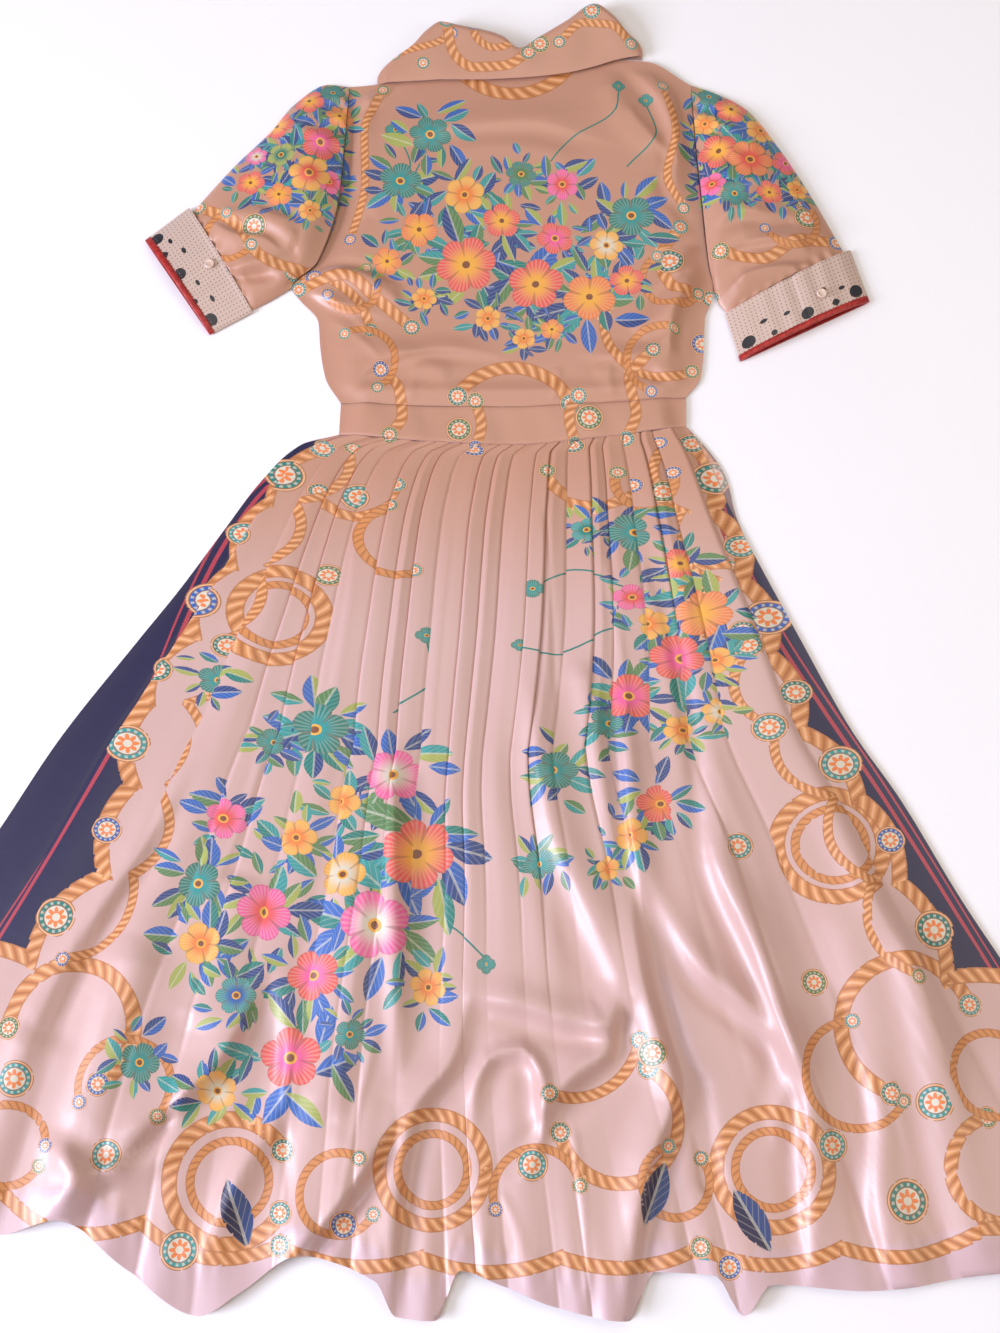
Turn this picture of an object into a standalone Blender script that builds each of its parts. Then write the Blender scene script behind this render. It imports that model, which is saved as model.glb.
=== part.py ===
"""Pleated midi dress with a shirt collar, laid flat, its back up. Metres, +Z up, +Y towards the collar."""
import math

import bmesh
import bpy
import numpy as np

# Cloth thickness and the small gap at every seam
SEAM_GAP = 0.0003
BODICE_THICKNESS = 0.0015
SKIRT_THICKNESS = 0.0018
UNDER_SKIRT_THICKNESS = 0.0020
BAND_THICKNESS = 0.0020
SLEEVE_WALL = 0.0014
CUFF_WALL = 0.0016
COLLAR_THICKNESS = 0.0016

# Heights at which the upper layer lies above the under layer
UNDER_BODICE_THICKNESS = 0.0016
UNDER_BAND_THICKNESS = 0.0018
UPPER_SKIRT_FLOOR = UNDER_SKIRT_THICKNESS + SEAM_GAP
UPPER_BAND_FLOOR = UNDER_BAND_THICKNESS + SEAM_GAP
UPPER_BODICE_FLOOR = UNDER_BODICE_THICKNESS + SEAM_GAP

# How the upper layer comes down to the under one at its side folds
SKIRT_EDGE_SHARE = 0.10
BODICE_EDGE_SHARE = 0.09
BAND_EDGE_SHARE = 0.08
EDGE_SINK = 0.0003
LIFT_SOFTNESS = 0.0006

# Pleats of the back skirt
PLEAT_COUNT = 22
PLEAT_PLACES = (0.0, 0.34, 0.66, 0.88)
SKIRT_ROWS = 24
ROW_SPACING_POWER = 1.35
PLEAT_SPREAD = 0.40
SPREAD_REACH = 0.4
SPREAD_POWER = 1.3
UNDER_SKIRT_COLUMNS = 33
UNDER_SKIRT_ROWS = 15
# Columns: share of the way down, height of the pleat's step, share of a soft wave in its form
PLEAT_FORM = (
    (0.00, 0.0016, 0.00),
    (0.10, 0.0024, 0.00),
    (0.40, 0.0040, 0.25),
    (0.75, 0.0052, 0.75),
    (1.00, 0.0060, 1.00),
)
# Columns: share of the way down, cushion of air below the upper layer
SKIRT_LOFT = ((0.00, 0.0006), (0.08, 0.0018), (0.35, 0.0026), (0.80, 0.0030), (1.00, 0.0012))

# Outline of the skirt. Columns: y, x
SKIRT_LEFT = (
    (-0.650, -0.620),
    (-0.520, -0.556),
    (-0.381, -0.472),
    (-0.296, -0.423),
    (-0.198, -0.354),
    (-0.148, -0.318),
    (-0.087, -0.278),
    (-0.035, -0.243),
    (0.002, -0.206),
    (0.012, -0.170),
)
SKIRT_RIGHT = (
    (-0.690, 0.555),
    (-0.600, 0.502),
    (-0.499, 0.439),
    (-0.445, 0.407),
    (-0.353, 0.358),
    (-0.286, 0.316),
    (-0.198, 0.273),
    (-0.076, 0.216),
    (0.000, 0.184),
    (0.020, 0.171),
)
# Columns: x, y of the lower waist seam
WAIST_SEAM = ((-0.170, 0.012), (-0.090, 0.004), (0.000, 0.000), (0.090, 0.008), (0.171, 0.020))
# Columns: x, y of the hem, with its dips where folds come to the edge
HEM = (
    (-0.620, -0.650),
    (-0.530, -0.706),
    (-0.443, -0.734),
    (-0.392, -0.722),
    (-0.329, -0.763),
    (-0.267, -0.799),
    (-0.232, -0.780),
    (-0.184, -0.751),
    (-0.118, -0.771),
    (-0.100, -0.800),
    (-0.067, -0.803),
    (-0.046, -0.763),
    (-0.010, -0.775),
    (0.039, -0.793),
    (0.097, -0.803),
    (0.120, -0.764),
    (0.173, -0.767),
    (0.195, -0.799),
    (0.219, -0.774),
    (0.300, -0.779),
    (0.402, -0.766),
    (0.440, -0.762),
    (0.510, -0.728),
    (0.555, -0.690),
)
HEM_DIP_POWER = 8
# Columns: place across from -1 to 1, y of the hem without its dips
HEM_TREND = ((-1.0, -0.650), (-0.6, -0.735), (0.0, -0.785), (0.6, -0.770), (1.0, -0.690))

# The front skirt shows a little beside the back one, below the waist on the right
PEEP_WIDTH = 0.010
PEEP_PLACE = 0.07
PEEP_REACH = 0.05
PEEP_START = 0.8

# Large folds of the skirt. Columns: start x, start y, end x, end y, bow to the side, half width, height
SKIRT_FOLDS = (
    (0.135, -0.110, 0.176, -0.420, 0.006, 0.011, -0.0080),
    (0.176, -0.400, 0.248, -0.690, -0.016, 0.014, -0.0100),
    (0.196, -0.440, 0.262, -0.770, -0.020, 0.013, 0.0150),
    (0.000, -0.230, 0.092, -0.560, 0.006, 0.022, 0.0120),
    (0.096, -0.530, 0.010, -0.700, -0.010, 0.014, 0.0110),
    (0.108, -0.530, 0.020, -0.690, -0.012, 0.011, -0.0080),
    (0.118, -0.420, 0.106, -0.620, -0.010, 0.016, 0.0100),
    (0.150, -0.430, 0.232, -0.610, -0.008, 0.013, 0.0100),
    (0.170, -0.560, 0.110, -0.764, -0.004, 0.015, -0.0080),
    (-0.094, -0.400, -0.080, -0.620, 0.004, 0.013, -0.0080),
    (-0.078, -0.470, -0.046, -0.763, 0.006, 0.012, 0.0140),
    (-0.040, -0.545, 0.072, -0.558, 0.004, 0.010, 0.0080),
    (-0.034, -0.545, -0.062, -0.650, -0.004, 0.010, 0.0070),
    (-0.016, -0.660, 0.004, -0.580, 0.010, 0.010, 0.0090),
    (0.060, -0.220, 0.094, -0.420, 0.004, 0.012, 0.0060),
    (-0.140, -0.420, -0.184, -0.760, 0.008, 0.022, 0.0110),
    (-0.250, -0.420, -0.300, -0.740, 0.010, 0.026, 0.0090),
    (-0.330, -0.480, -0.392, -0.730, 0.006, 0.024, 0.0130),
    (-0.200, -0.480, -0.236, -0.790, 0.004, 0.020, -0.0060),
    (0.300, -0.440, 0.340, -0.780, 0.006, 0.024, 0.0080),
    (0.350, -0.470, 0.402, -0.766, -0.006, 0.020, 0.0110),
    (-0.420, -0.560, -0.480, -0.720, 0.004, 0.022, 0.0080),
    (0.440, -0.560, 0.480, -0.730, 0.000, 0.022, 0.0080),
)

# Outline of the bodice. Columns: y, x
BODICE_LEFT = (
    (0.046, -0.169),
    (0.073, -0.185),
    (0.105, -0.191),
    (0.135, -0.194),
    (0.160, -0.214),
    (0.172, -0.222),
    (0.200, -0.196),
    (0.272, -0.176),
    (0.340, -0.172),
    (0.406, -0.169),
)
BODICE_RIGHT = (
    (0.052, 0.172),
    (0.073, 0.187),
    (0.101, 0.191),
    (0.140, 0.194),
    (0.158, 0.201),
    (0.172, 0.203),
    (0.200, 0.199),
    (0.272, 0.194),
    (0.340, 0.190),
    (0.408, 0.188),
)
# Columns: x, y of the upper waist seam, of the shoulders with the back neck and with the front neck
BODICE_SEAM = ((-0.169, 0.046), (-0.085, 0.042), (0.000, 0.041), (0.085, 0.045), (0.172, 0.052))
BACK_TOP = (
    (-0.169, 0.406),
    (-0.140, 0.408),
    (-0.105, 0.424),
    (0.000, 0.428),
    (0.090, 0.438),
    (0.140, 0.436),
    (0.188, 0.408),
)
FRONT_TOP = (
    (-0.169, 0.406),
    (-0.140, 0.408),
    (-0.105, 0.420),
    (-0.075, 0.400),
    (-0.040, 0.372),
    (0.000, 0.362),
    (0.045, 0.376),
    (0.085, 0.410),
    (0.115, 0.434),
    (0.140, 0.436),
    (0.188, 0.408),
)
# A fold's height at its ends as a share of its full height, and how fast it grows from there
FOLD_END_SHARE = 0.25
FOLD_GROWTH = 2.2
# Soft folds of the bodice, in the columns of SKIRT_FOLDS
BODICE_FOLDS = (
    (-0.222, 0.185, -0.110, 0.150, 0.012, 0.010, 0.0040),
    (-0.215, 0.200, -0.140, 0.260, -0.006, 0.009, -0.0025),
    (0.196, 0.200, 0.120, 0.120, 0.010, 0.011, 0.0050),
    (0.192, 0.240, 0.150, 0.300, 0.006, 0.010, -0.0025),
    (-0.150, 0.395, -0.170, 0.300, 0.004, 0.008, 0.0030),
    (0.100, 0.415, 0.150, 0.330, -0.008, 0.014, 0.0030),
    (-0.175, 0.060, 0.170, 0.064, -0.006, 0.009, 0.0030),
    (-0.160, 0.110, -0.060, 0.070, 0.006, 0.012, 0.0025),
    (0.168, 0.105, 0.080, 0.075, -0.004, 0.012, 0.0025),
)
BODICE_LOFT = 0.0034
# Share of the height over which the bodice comes down to the shoulders, and the least share of its loft there
SHOULDER_REACH = 0.16
SHOULDER_LEAST = 0.15
FOLD_SHOULDER_REACH = 0.05
# The loft at the waist as a share of the full one, and the share of the height over which it grows
WAIST_LEAST = 0.45
WAIST_REACH = 0.12
BODICE_COLUMNS = 27
FRONT_COLUMNS = 9
ROWS_BELOW_ARMHOLE = 8

# Waistband
BAND_COLUMNS = 23
BAND_ROWS = 5
UNDER_BAND_COLUMNS = 13
UNDER_BAND_ROWS = 3
BAND_LOFT = 0.0026
# Columns: height, waves per band times two pi, turn of the wave
BAND_WAVES = ((0.0008, 9.0, 0.0), (0.0006, 23.0, -1.0))
BAND_WAVE_LEAN = 2.0

# Sleeves. Columns: share of the way out, x, y of the outer fold and of the inner fold
LEFT_SLEEVE_OUTER = (
    (0.00, -0.169, 0.406),
    (0.12, -0.192, 0.409),
    (0.28, -0.226, 0.385),
    (0.45, -0.250, 0.352),
    (0.72, -0.284, 0.314),
    (1.00, -0.324, 0.262),
)
LEFT_SLEEVE_INNER = ((0.00, -0.222, 0.172), (0.50, -0.243, 0.158), (1.00, -0.262, 0.147))
RIGHT_SLEEVE_OUTER = (
    (0.00, 0.188, 0.408),
    (0.12, 0.212, 0.399),
    (0.28, 0.244, 0.380),
    (0.48, 0.274, 0.338),
    (0.75, 0.304, 0.284),
    (1.00, 0.333, 0.222),
)
RIGHT_SLEEVE_INNER = ((0.00, 0.203, 0.172), (0.50, 0.206, 0.156), (1.00, 0.212, 0.144))
# Columns: share of the way out, height of the sleeve
SLEEVE_HEIGHT = ((0.00, 0.0100), (0.25, 0.0220), (0.60, 0.0200), (0.85, 0.0180), (1.00, 0.0120))
SLEEVE_STATIONS = 13
SLEEVE_PLACES = 13
UNDERARM_SHARE = 0.35
SLEEVE_END_SHARES = (0.02, 0.95)
GATHER_COUNT = 6
GATHER_HEIGHT = 0.0016
GATHER_REACH = 0.45
GATHER_START = 0.08
GATHER_FROM = 0.4
SLEEVE_EDGE_HEIGHT = 0.0042
CROWN_POWER = 0.75

# Cuffs. Columns: x, y of the inner and outer end of the seam line and of the hem line
LEFT_CUFF_SEAM = ((-0.2600, 0.1450), (-0.3300, 0.2640))
LEFT_CUFF_HEM = ((-0.3020, 0.1200), (-0.3730, 0.2260))
RIGHT_CUFF_SEAM = ((0.2140, 0.1430), (0.3440, 0.2150))
RIGHT_CUFF_HEM = ((0.2270, 0.0910), (0.3600, 0.1570))
CUFF_HEIGHT = 0.0120
CUFF_LAP = 0.0012
LEFT_LAP_PLACE = 0.46
RIGHT_LAP_PLACE = 0.52
BINDING_DEPTH = 0.0060
BINDING_WALL = 0.0020
BINDING_PROUD = 0.0004
BINDING_EDGE_HEIGHT = 0.0054
CUFF_EDGE_HEIGHT = 0.0050
CUFF_STATIONS = 4
CUFF_PLACES = 15
LAP_RISE_SHARE = 0.05
LAP_FALL_SHARE = 0.10

# Buttons of the cuffs. Columns: x, y
BUTTON_RADIUS = 0.0052
BUTTON_THICKNESS = 0.0024
BUTTON_RIM = 0.0006
LEFT_BUTTON = (-0.3040, 0.1930)
RIGHT_BUTTON = (0.3100, 0.1600)
BUTTON_SIDES = 20

# Collar. Columns: x, y of the leaf's lower edge, y of its fold, height of its fold
COLLAR_LEAF = (
    (-0.140, 0.407, 0.430, 0.0075),
    (-0.122, 0.408, 0.438, 0.0120),
    (-0.104, 0.409, 0.452, 0.0150),
    (-0.088, 0.410, 0.470, 0.0180),
    (-0.074, 0.411, 0.479, 0.0190),
    (-0.055, 0.411, 0.475, 0.0180),
    (-0.030, 0.411, 0.470, 0.0170),
    (-0.010, 0.412, 0.463, 0.0160),
    (0.008, 0.413, 0.449, 0.0150),
    (0.030, 0.415, 0.462, 0.0165),
    (0.058, 0.419, 0.480, 0.0190),
    (0.088, 0.427, 0.500, 0.0210),
    (0.108, 0.434, 0.486, 0.0190),
    (0.124, 0.438, 0.466, 0.0140),
    (0.138, 0.441, 0.456, 0.0080),
)
COLLAR_COLUMNS = 28
COLLAR_EDGE_LEVEL = 0.0088
COLLAR_LEAF_SHARES = (0.0, 0.3, 0.65)
COLLAR_FOLD_TURNS = (90.0, 45.0, 0.0, -45.0, -90.0)
COLLAR_BOW_POWER = 0.8
COLLAR_OVERLAP = 0.0040
COLLAR_LEAST_RUN = 0.0004
FOLD_CLEARANCE = 0.0010
STAND_HALF_WIDTH = 0.105
STAND_COLUMNS = 15
STAND_ROWS = 4
STAND_LIFT = 0.0010
STAND_DROP = 0.0020

# Colours and finish. Columns: name, red, green, blue, roughness
SATIN_BEIGE = ("satin_beige", 0.72, 0.47, 0.37, 0.42)
BAND_SATIN = ("satin_band", 0.69, 0.45, 0.36, 0.42)
CUFF_RED = ("cuff_red", 0.50, 0.03, 0.02, 0.50)
PEARL = ("pearl_button", 0.80, 0.62, 0.50, 0.25)


def clear_scene():
    """Takes every object out of the scene."""
    for item in list(bpy.data.objects):
        bpy.data.objects.remove(item)


def smooth_at(table, place, column=1):
    """Values of one column of a table at places in its first column, by a smooth curve with no overshoot."""
    places = np.array([row[0] for row in table], dtype=float)
    values = np.array([row[column] for row in table], dtype=float)
    steps = np.diff(places)
    slopes = np.diff(values) / steps
    tangents = np.zeros(len(places))
    same_way = slopes[1:] * slopes[:-1] > 0
    sums = np.where(same_way, slopes[1:] + slopes[:-1], 1.0)
    tangents[1:-1] = np.where(same_way, 2 * slopes[1:] * slopes[:-1] / sums, 0.0)
    tangents[0] = slopes[0]
    tangents[-1] = slopes[-1]
    held = np.clip(np.asarray(place, dtype=float), places[0], places[-1])
    index = np.clip(np.searchsorted(places, held) - 1, 0, len(places) - 2)
    step = steps[index]
    part = (held - places[index]) / step
    start = values[index] * (1 + 2 * part) * (1 - part) ** 2
    start += tangents[index] * step * part * (1 - part) ** 2
    end = values[index + 1] * part**2 * (3 - 2 * part)
    end += tangents[index + 1] * step * part**2 * (part - 1)
    return start + end


def fold_heights(folds, x, y):
    """Sum of the soft ridges and troughs of a fold table at points x, y."""
    total = np.zeros(np.shape(x))
    for start_x, start_y, end_x, end_y, bow, half_width, height in folds:
        run_x = end_x - start_x
        run_y = end_y - start_y
        length = math.hypot(run_x, run_y)
        along = ((x - start_x) * run_x + (y - start_y) * run_y) / length**2
        across = ((y - start_y) * run_x - (x - start_x) * run_y) / length
        held = np.clip(along, 0.0, 1.0)
        rise = 4 * held * (1 - held)
        beyond = np.maximum(np.maximum(-along, along - 1.0), 0.0) * length / half_width
        offset = (across - bow * rise) / half_width
        fade = np.minimum(1.0, FOLD_END_SHARE + FOLD_GROWTH * rise)
        total += height * fade * np.exp(-(offset**2) - beyond**2)
    return total


def above_zero(value, softness):
    """A soft floor at zero: the value where it is large, and nearly nothing where it is below zero."""
    return 0.5 * (value + np.sqrt(value**2 + softness**2))


def eased(value):
    """From 0 to 1 with a soft start and a soft end."""
    held = np.clip(value, 0.0, 1.0)
    return held * held * (3 - 2 * held)


def skirt_plan(across, down):
    """Plan points of the skirt, across from -1 at the left fold to 1 at the right one, down from 0 to 1."""
    left_y = SKIRT_LEFT[-1][0] + (SKIRT_LEFT[0][0] - SKIRT_LEFT[-1][0]) * down
    right_y = SKIRT_RIGHT[-1][0] + (SKIRT_RIGHT[0][0] - SKIRT_RIGHT[-1][0]) * down
    left_x = smooth_at(SKIRT_LEFT, left_y)
    right_x = smooth_at(SKIRT_RIGHT, right_y)
    spread = PLEAT_SPREAD * np.clip(down / SPREAD_REACH, 0.0, 1.0) ** SPREAD_POWER
    place = across + spread * (across**3 - across)
    share = 0.5 * (place + 1.0)
    x = left_x + (right_x - left_x) * share
    waist_x = WAIST_SEAM[0][0] + (WAIST_SEAM[-1][0] - WAIST_SEAM[0][0]) * 0.5 * (across + 1.0)
    hem_share = 0.5 * (across + PLEAT_SPREAD * (across**3 - across) + 1.0)
    hem_x = HEM[0][0] + (HEM[-1][0] - HEM[0][0]) * hem_share
    waist_y = smooth_at(WAIST_SEAM, waist_x)
    trend_y = smooth_at(HEM_TREND, across)
    hem_y = smooth_at(HEM, hem_x)
    y = waist_y + (trend_y - waist_y) * down + (hem_y - trend_y) * down**HEM_DIP_POWER
    return x, y


def pleat_height(across, down):
    """Height of the pleats: a slow rise and a short drop, turning to soft waves towards the hem."""
    phase = np.abs(across) * PLEAT_COUNT / 2
    part = phase - np.floor(phase)
    rise = part / PLEAT_PLACES[-1]
    drop = (1.0 - part) / (1.0 - PLEAT_PLACES[-1])
    step = np.minimum(rise, drop)
    wave = 0.5 - 0.5 * np.cos(2 * math.pi * part)
    share = smooth_at(PLEAT_FORM, down, 2)
    return smooth_at(PLEAT_FORM, down, 1) * (step * (1 - share) + wave * share)


def skirt_lift(across, down, x, y):
    """Free height of the upper skirt layer above the under one."""
    edge = eased((1.0 - np.abs(across)) / SKIRT_EDGE_SHARE)
    free = smooth_at(SKIRT_LOFT, down) + pleat_height(across, down)
    free = free + fold_heights(SKIRT_FOLDS, x, y)
    return above_zero(free * edge, LIFT_SOFTNESS) - EDGE_SINK * (1 - edge)


def bodice_plan(across, up, top_table):
    """Plan points of a bodice panel, across from 0 to 1, up from 0 at the waist to 1 at the shoulders."""
    left_y = BODICE_LEFT[0][0] + (BODICE_LEFT[-1][0] - BODICE_LEFT[0][0]) * up
    right_y = BODICE_RIGHT[0][0] + (BODICE_RIGHT[-1][0] - BODICE_RIGHT[0][0]) * up
    left_x = smooth_at(BODICE_LEFT, left_y)
    right_x = smooth_at(BODICE_RIGHT, right_y)
    x = left_x + (right_x - left_x) * across
    low_x = BODICE_SEAM[0][0] + (BODICE_SEAM[-1][0] - BODICE_SEAM[0][0]) * across
    high_x = top_table[0][0] + (top_table[-1][0] - top_table[0][0]) * across
    low_y = smooth_at(BODICE_SEAM, low_x)
    high_y = smooth_at(top_table, high_x)
    y = low_y + (high_y - low_y) * up
    return x, y


def bodice_lift(across, up, x, y):
    """Free height of the back bodice above the front one."""
    edge = eased(np.minimum(across, 1 - across) / BODICE_EDGE_SHARE)
    top = np.clip((1.0 - up) / SHOULDER_REACH, SHOULDER_LEAST, 1.0)
    waist = WAIST_LEAST + (1 - WAIST_LEAST) * np.clip(up / WAIST_REACH, 0.0, 1.0)
    folds = fold_heights(BODICE_FOLDS, x, y) * np.clip((1.0 - up) / FOLD_SHOULDER_REACH, 0.0, 1.0)
    free = BODICE_LOFT * top * waist + folds
    return above_zero(free * edge, LIFT_SOFTNESS) - EDGE_SINK * (1 - edge)


def new_object(name, vertices, faces, material):
    """A mesh object with its faces facing out."""
    mesh = bpy.data.meshes.new(name)
    mesh.from_pydata([tuple(map(float, point)) for point in vertices], [], faces)
    work = bmesh.new()
    work.from_mesh(mesh)
    bmesh.ops.triangulate(work, faces=[face for face in work.faces if len(face.verts) > 4])
    bmesh.ops.recalc_face_normals(work, faces=work.faces)
    work.to_mesh(mesh)
    work.free()
    item = bpy.data.objects.new(name, mesh)
    bpy.context.scene.collection.objects.link(item)
    item.data.materials.append(material)
    return item


def new_material(values):
    """A plain material from a colour row."""
    name, red, green, blue, roughness = values
    found = bpy.data.materials.get(name)
    if found is not None:
        return found
    made = bpy.data.materials.new(name)
    made.use_nodes = True
    shader = made.node_tree.nodes["Principled BSDF"]
    shader.inputs["Base Color"].default_value = (red, green, blue, 1.0)
    shader.inputs["Roughness"].default_value = roughness
    shader.inputs["Metallic"].default_value = 0.0
    made.diffuse_color = (red, green, blue, 1.0)
    return made


def sheet_solid(name, upper, lower, material):
    """Closed solid between two grids of points, each of rows by columns by three."""
    rows, columns = upper.shape[:2]
    points = np.concatenate([upper.reshape(-1, 3), lower.reshape(-1, 3)])
    below = rows * columns
    faces = []
    for row in range(rows - 1):
        for column in range(columns - 1):
            a = row * columns + column
            b = a + 1
            c = a + columns + 1
            d = a + columns
            faces.append((a, b, c))
            faces.append((a, c, d))
            faces.append((below + a, below + c, below + b))
            faces.append((below + a, below + d, below + c))
    border = [column for column in range(columns)]
    border += [row * columns + columns - 1 for row in range(1, rows)]
    border += [(rows - 1) * columns + column for column in range(columns - 2, -1, -1)]
    border += [row * columns for row in range(rows - 2, 0, -1)]
    for index, first in enumerate(border):
        second = border[(index + 1) % len(border)]
        faces.append((first, below + first, below + second))
        faces.append((first, below + second, second))
    return new_object(name, points, faces, material)


def ring_solid(name, outer, inner, material):
    """Closed tube from stations of outer and inner rings, each of stations by places by three."""
    stations, places = outer.shape[:2]
    points = np.concatenate([outer.reshape(-1, 3), inner.reshape(-1, 3)])
    inside = stations * places
    faces = []
    for station in range(stations - 1):
        for place in range(places):
            after = (place + 1) % places
            a = station * places + place
            b = station * places + after
            c = (station + 1) * places + after
            d = (station + 1) * places + place
            faces.append((a, b, c))
            faces.append((a, c, d))
            faces.append((inside + a, inside + c, inside + b))
            faces.append((inside + a, inside + d, inside + c))
    for station in (0, stations - 1):
        for place in range(places):
            after = (place + 1) % places
            a = station * places + place
            b = station * places + after
            faces.append((a, inside + a, inside + b))
            faces.append((a, inside + b, b))
    return new_object(name, points, faces, material)


def build_skirt():
    """Back skirt with its pleats and folds, and the flat front skirt below it."""
    marks = []
    for pleat in range(PLEAT_COUNT // 2):
        for place in PLEAT_PLACES:
            marks.append((pleat + place) / (PLEAT_COUNT / 2))
    half = np.array(marks[1:] + [1.0])
    across = np.concatenate([-half[::-1], [0.0], half])
    down = np.linspace(0.0, 1.0, SKIRT_ROWS) ** ROW_SPACING_POWER
    across_grid, down_grid = np.meshgrid(across, down)
    x, y = skirt_plan(across_grid, down_grid)
    lift = skirt_lift(across_grid, down_grid, x, y)
    floor = UPPER_SKIRT_FLOOR
    lower = np.stack([x, y, floor + lift], axis=2)
    upper = np.stack([x, y, floor + lift + SKIRT_THICKNESS], axis=2)
    sheet_solid("back_skirt", upper, lower, new_material(SATIN_BEIGE))

    across = np.linspace(-1.0, 1.0, UNDER_SKIRT_COLUMNS)
    down = np.linspace(0.0, 1.0, UNDER_SKIRT_ROWS) ** ROW_SPACING_POWER
    across_grid, down_grid = np.meshgrid(across, down)
    x, y = skirt_plan(across_grid, down_grid)
    bulge = np.exp(-(((down_grid - PEEP_PLACE) / PEEP_REACH) ** 2))
    bulge = bulge * np.clip((across_grid - PEEP_START) / (1 - PEEP_START), 0.0, 1.0)
    x = x + PEEP_WIDTH * bulge
    lower = np.stack([x, y, np.zeros(x.shape)], axis=2)
    upper = np.stack([x, y, np.full(x.shape, UNDER_SKIRT_THICKNESS)], axis=2)
    sheet_solid("front_skirt", upper, lower, new_material(SATIN_BEIGE))


def band_points(columns, rows):
    """Plan points of the waistband between its two seams, each drawn back by the seam gap."""
    share, up = np.meshgrid(np.linspace(0.0, 1.0, columns), np.linspace(0.0, 1.0, rows))
    low_x = WAIST_SEAM[0][0] + (WAIST_SEAM[-1][0] - WAIST_SEAM[0][0]) * share
    high_x = BODICE_SEAM[0][0] + (BODICE_SEAM[-1][0] - BODICE_SEAM[0][0]) * share
    low_y = smooth_at(WAIST_SEAM, low_x) + SEAM_GAP
    high_y = smooth_at(BODICE_SEAM, high_x) - SEAM_GAP
    x = low_x + (high_x - low_x) * up
    y = low_y + (high_y - low_y) * up
    return share, up, x, y


def build_waistband():
    """Back waistband over the front waistband."""
    share, up, x, y = band_points(BAND_COLUMNS, BAND_ROWS)
    edge = eased(np.minimum(share, 1 - share) / BAND_EDGE_SHARE)
    lean = BAND_WAVE_LEAN * up
    wave = np.zeros(x.shape)
    for height, rate, turn in BAND_WAVES:
        wave = wave + height * np.sin(rate * share + turn + lean)
    lift = (BAND_LOFT + wave) * edge
    lower = np.stack([x, y, UPPER_BAND_FLOOR + lift], axis=2)
    upper = np.stack([x, y, UPPER_BAND_FLOOR + lift + BAND_THICKNESS], axis=2)
    sheet_solid("waistband_back", upper, lower, new_material(BAND_SATIN))
    share, up, x, y = band_points(UNDER_BAND_COLUMNS, UNDER_BAND_ROWS)
    lower = np.stack([x, y, np.zeros(x.shape)], axis=2)
    upper = np.stack([x, y, np.full(x.shape, UNDER_BAND_THICKNESS)], axis=2)
    sheet_solid("waistband_front", upper, lower, new_material(BAND_SATIN))


def build_bodice():
    """Back bodice over the two front halves, which meet at the middle."""
    across, up = np.meshgrid(np.linspace(0.0, 1.0, BODICE_COLUMNS), bodice_rows())
    x, y = bodice_plan(across, up, BACK_TOP)
    lift = bodice_lift(across, up, x, y)
    lower = np.stack([x, y, UPPER_BODICE_FLOOR + lift], axis=2)
    upper = np.stack([x, y, UPPER_BODICE_FLOOR + lift + BODICE_THICKNESS], axis=2)
    sheet_solid("back_bodice", upper, lower, new_material(SATIN_BEIGE))
    middle = 0.5
    for name, start, end, shift in (
        ("front_bodice_left", 0.0, middle, -SEAM_GAP / 2),
        ("front_bodice_right", middle, 1.0, SEAM_GAP / 2),
    ):
        across, up = np.meshgrid(np.linspace(start, end, FRONT_COLUMNS), bodice_rows())
        x, y = bodice_plan(across, up, FRONT_TOP)
        at_middle = np.abs(across - middle) < 1e-9
        x = x + np.where(at_middle, shift, 0.0)
        lower = np.stack([x, y, np.zeros(x.shape)], axis=2)
        upper = np.stack([x, y, np.full(x.shape, UNDER_BODICE_THICKNESS)], axis=2)
        sheet_solid(name, upper, lower, new_material(SATIN_BEIGE))


def bodice_rows():
    """Shares of the way up the bodice, with one row at every place of the armhole."""
    below = np.linspace(0.0, UNDERARM_SHARE, ROWS_BELOW_ARMHOLE)
    beside = np.linspace(UNDERARM_SHARE, 1.0, SLEEVE_PLACES)
    return np.concatenate([below, beside[1:]])


def armhole_line(table, side, places):
    """Points of an armhole from the underarm to the shoulder, one seam gap outside the bodice."""
    up = UNDERARM_SHARE + (1.0 - UNDERARM_SHARE) * places
    y = table[0][0] + (table[-1][0] - table[0][0]) * up
    x = smooth_at(table, y) + side * SEAM_GAP
    return np.stack([x, y], axis=-1)


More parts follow.
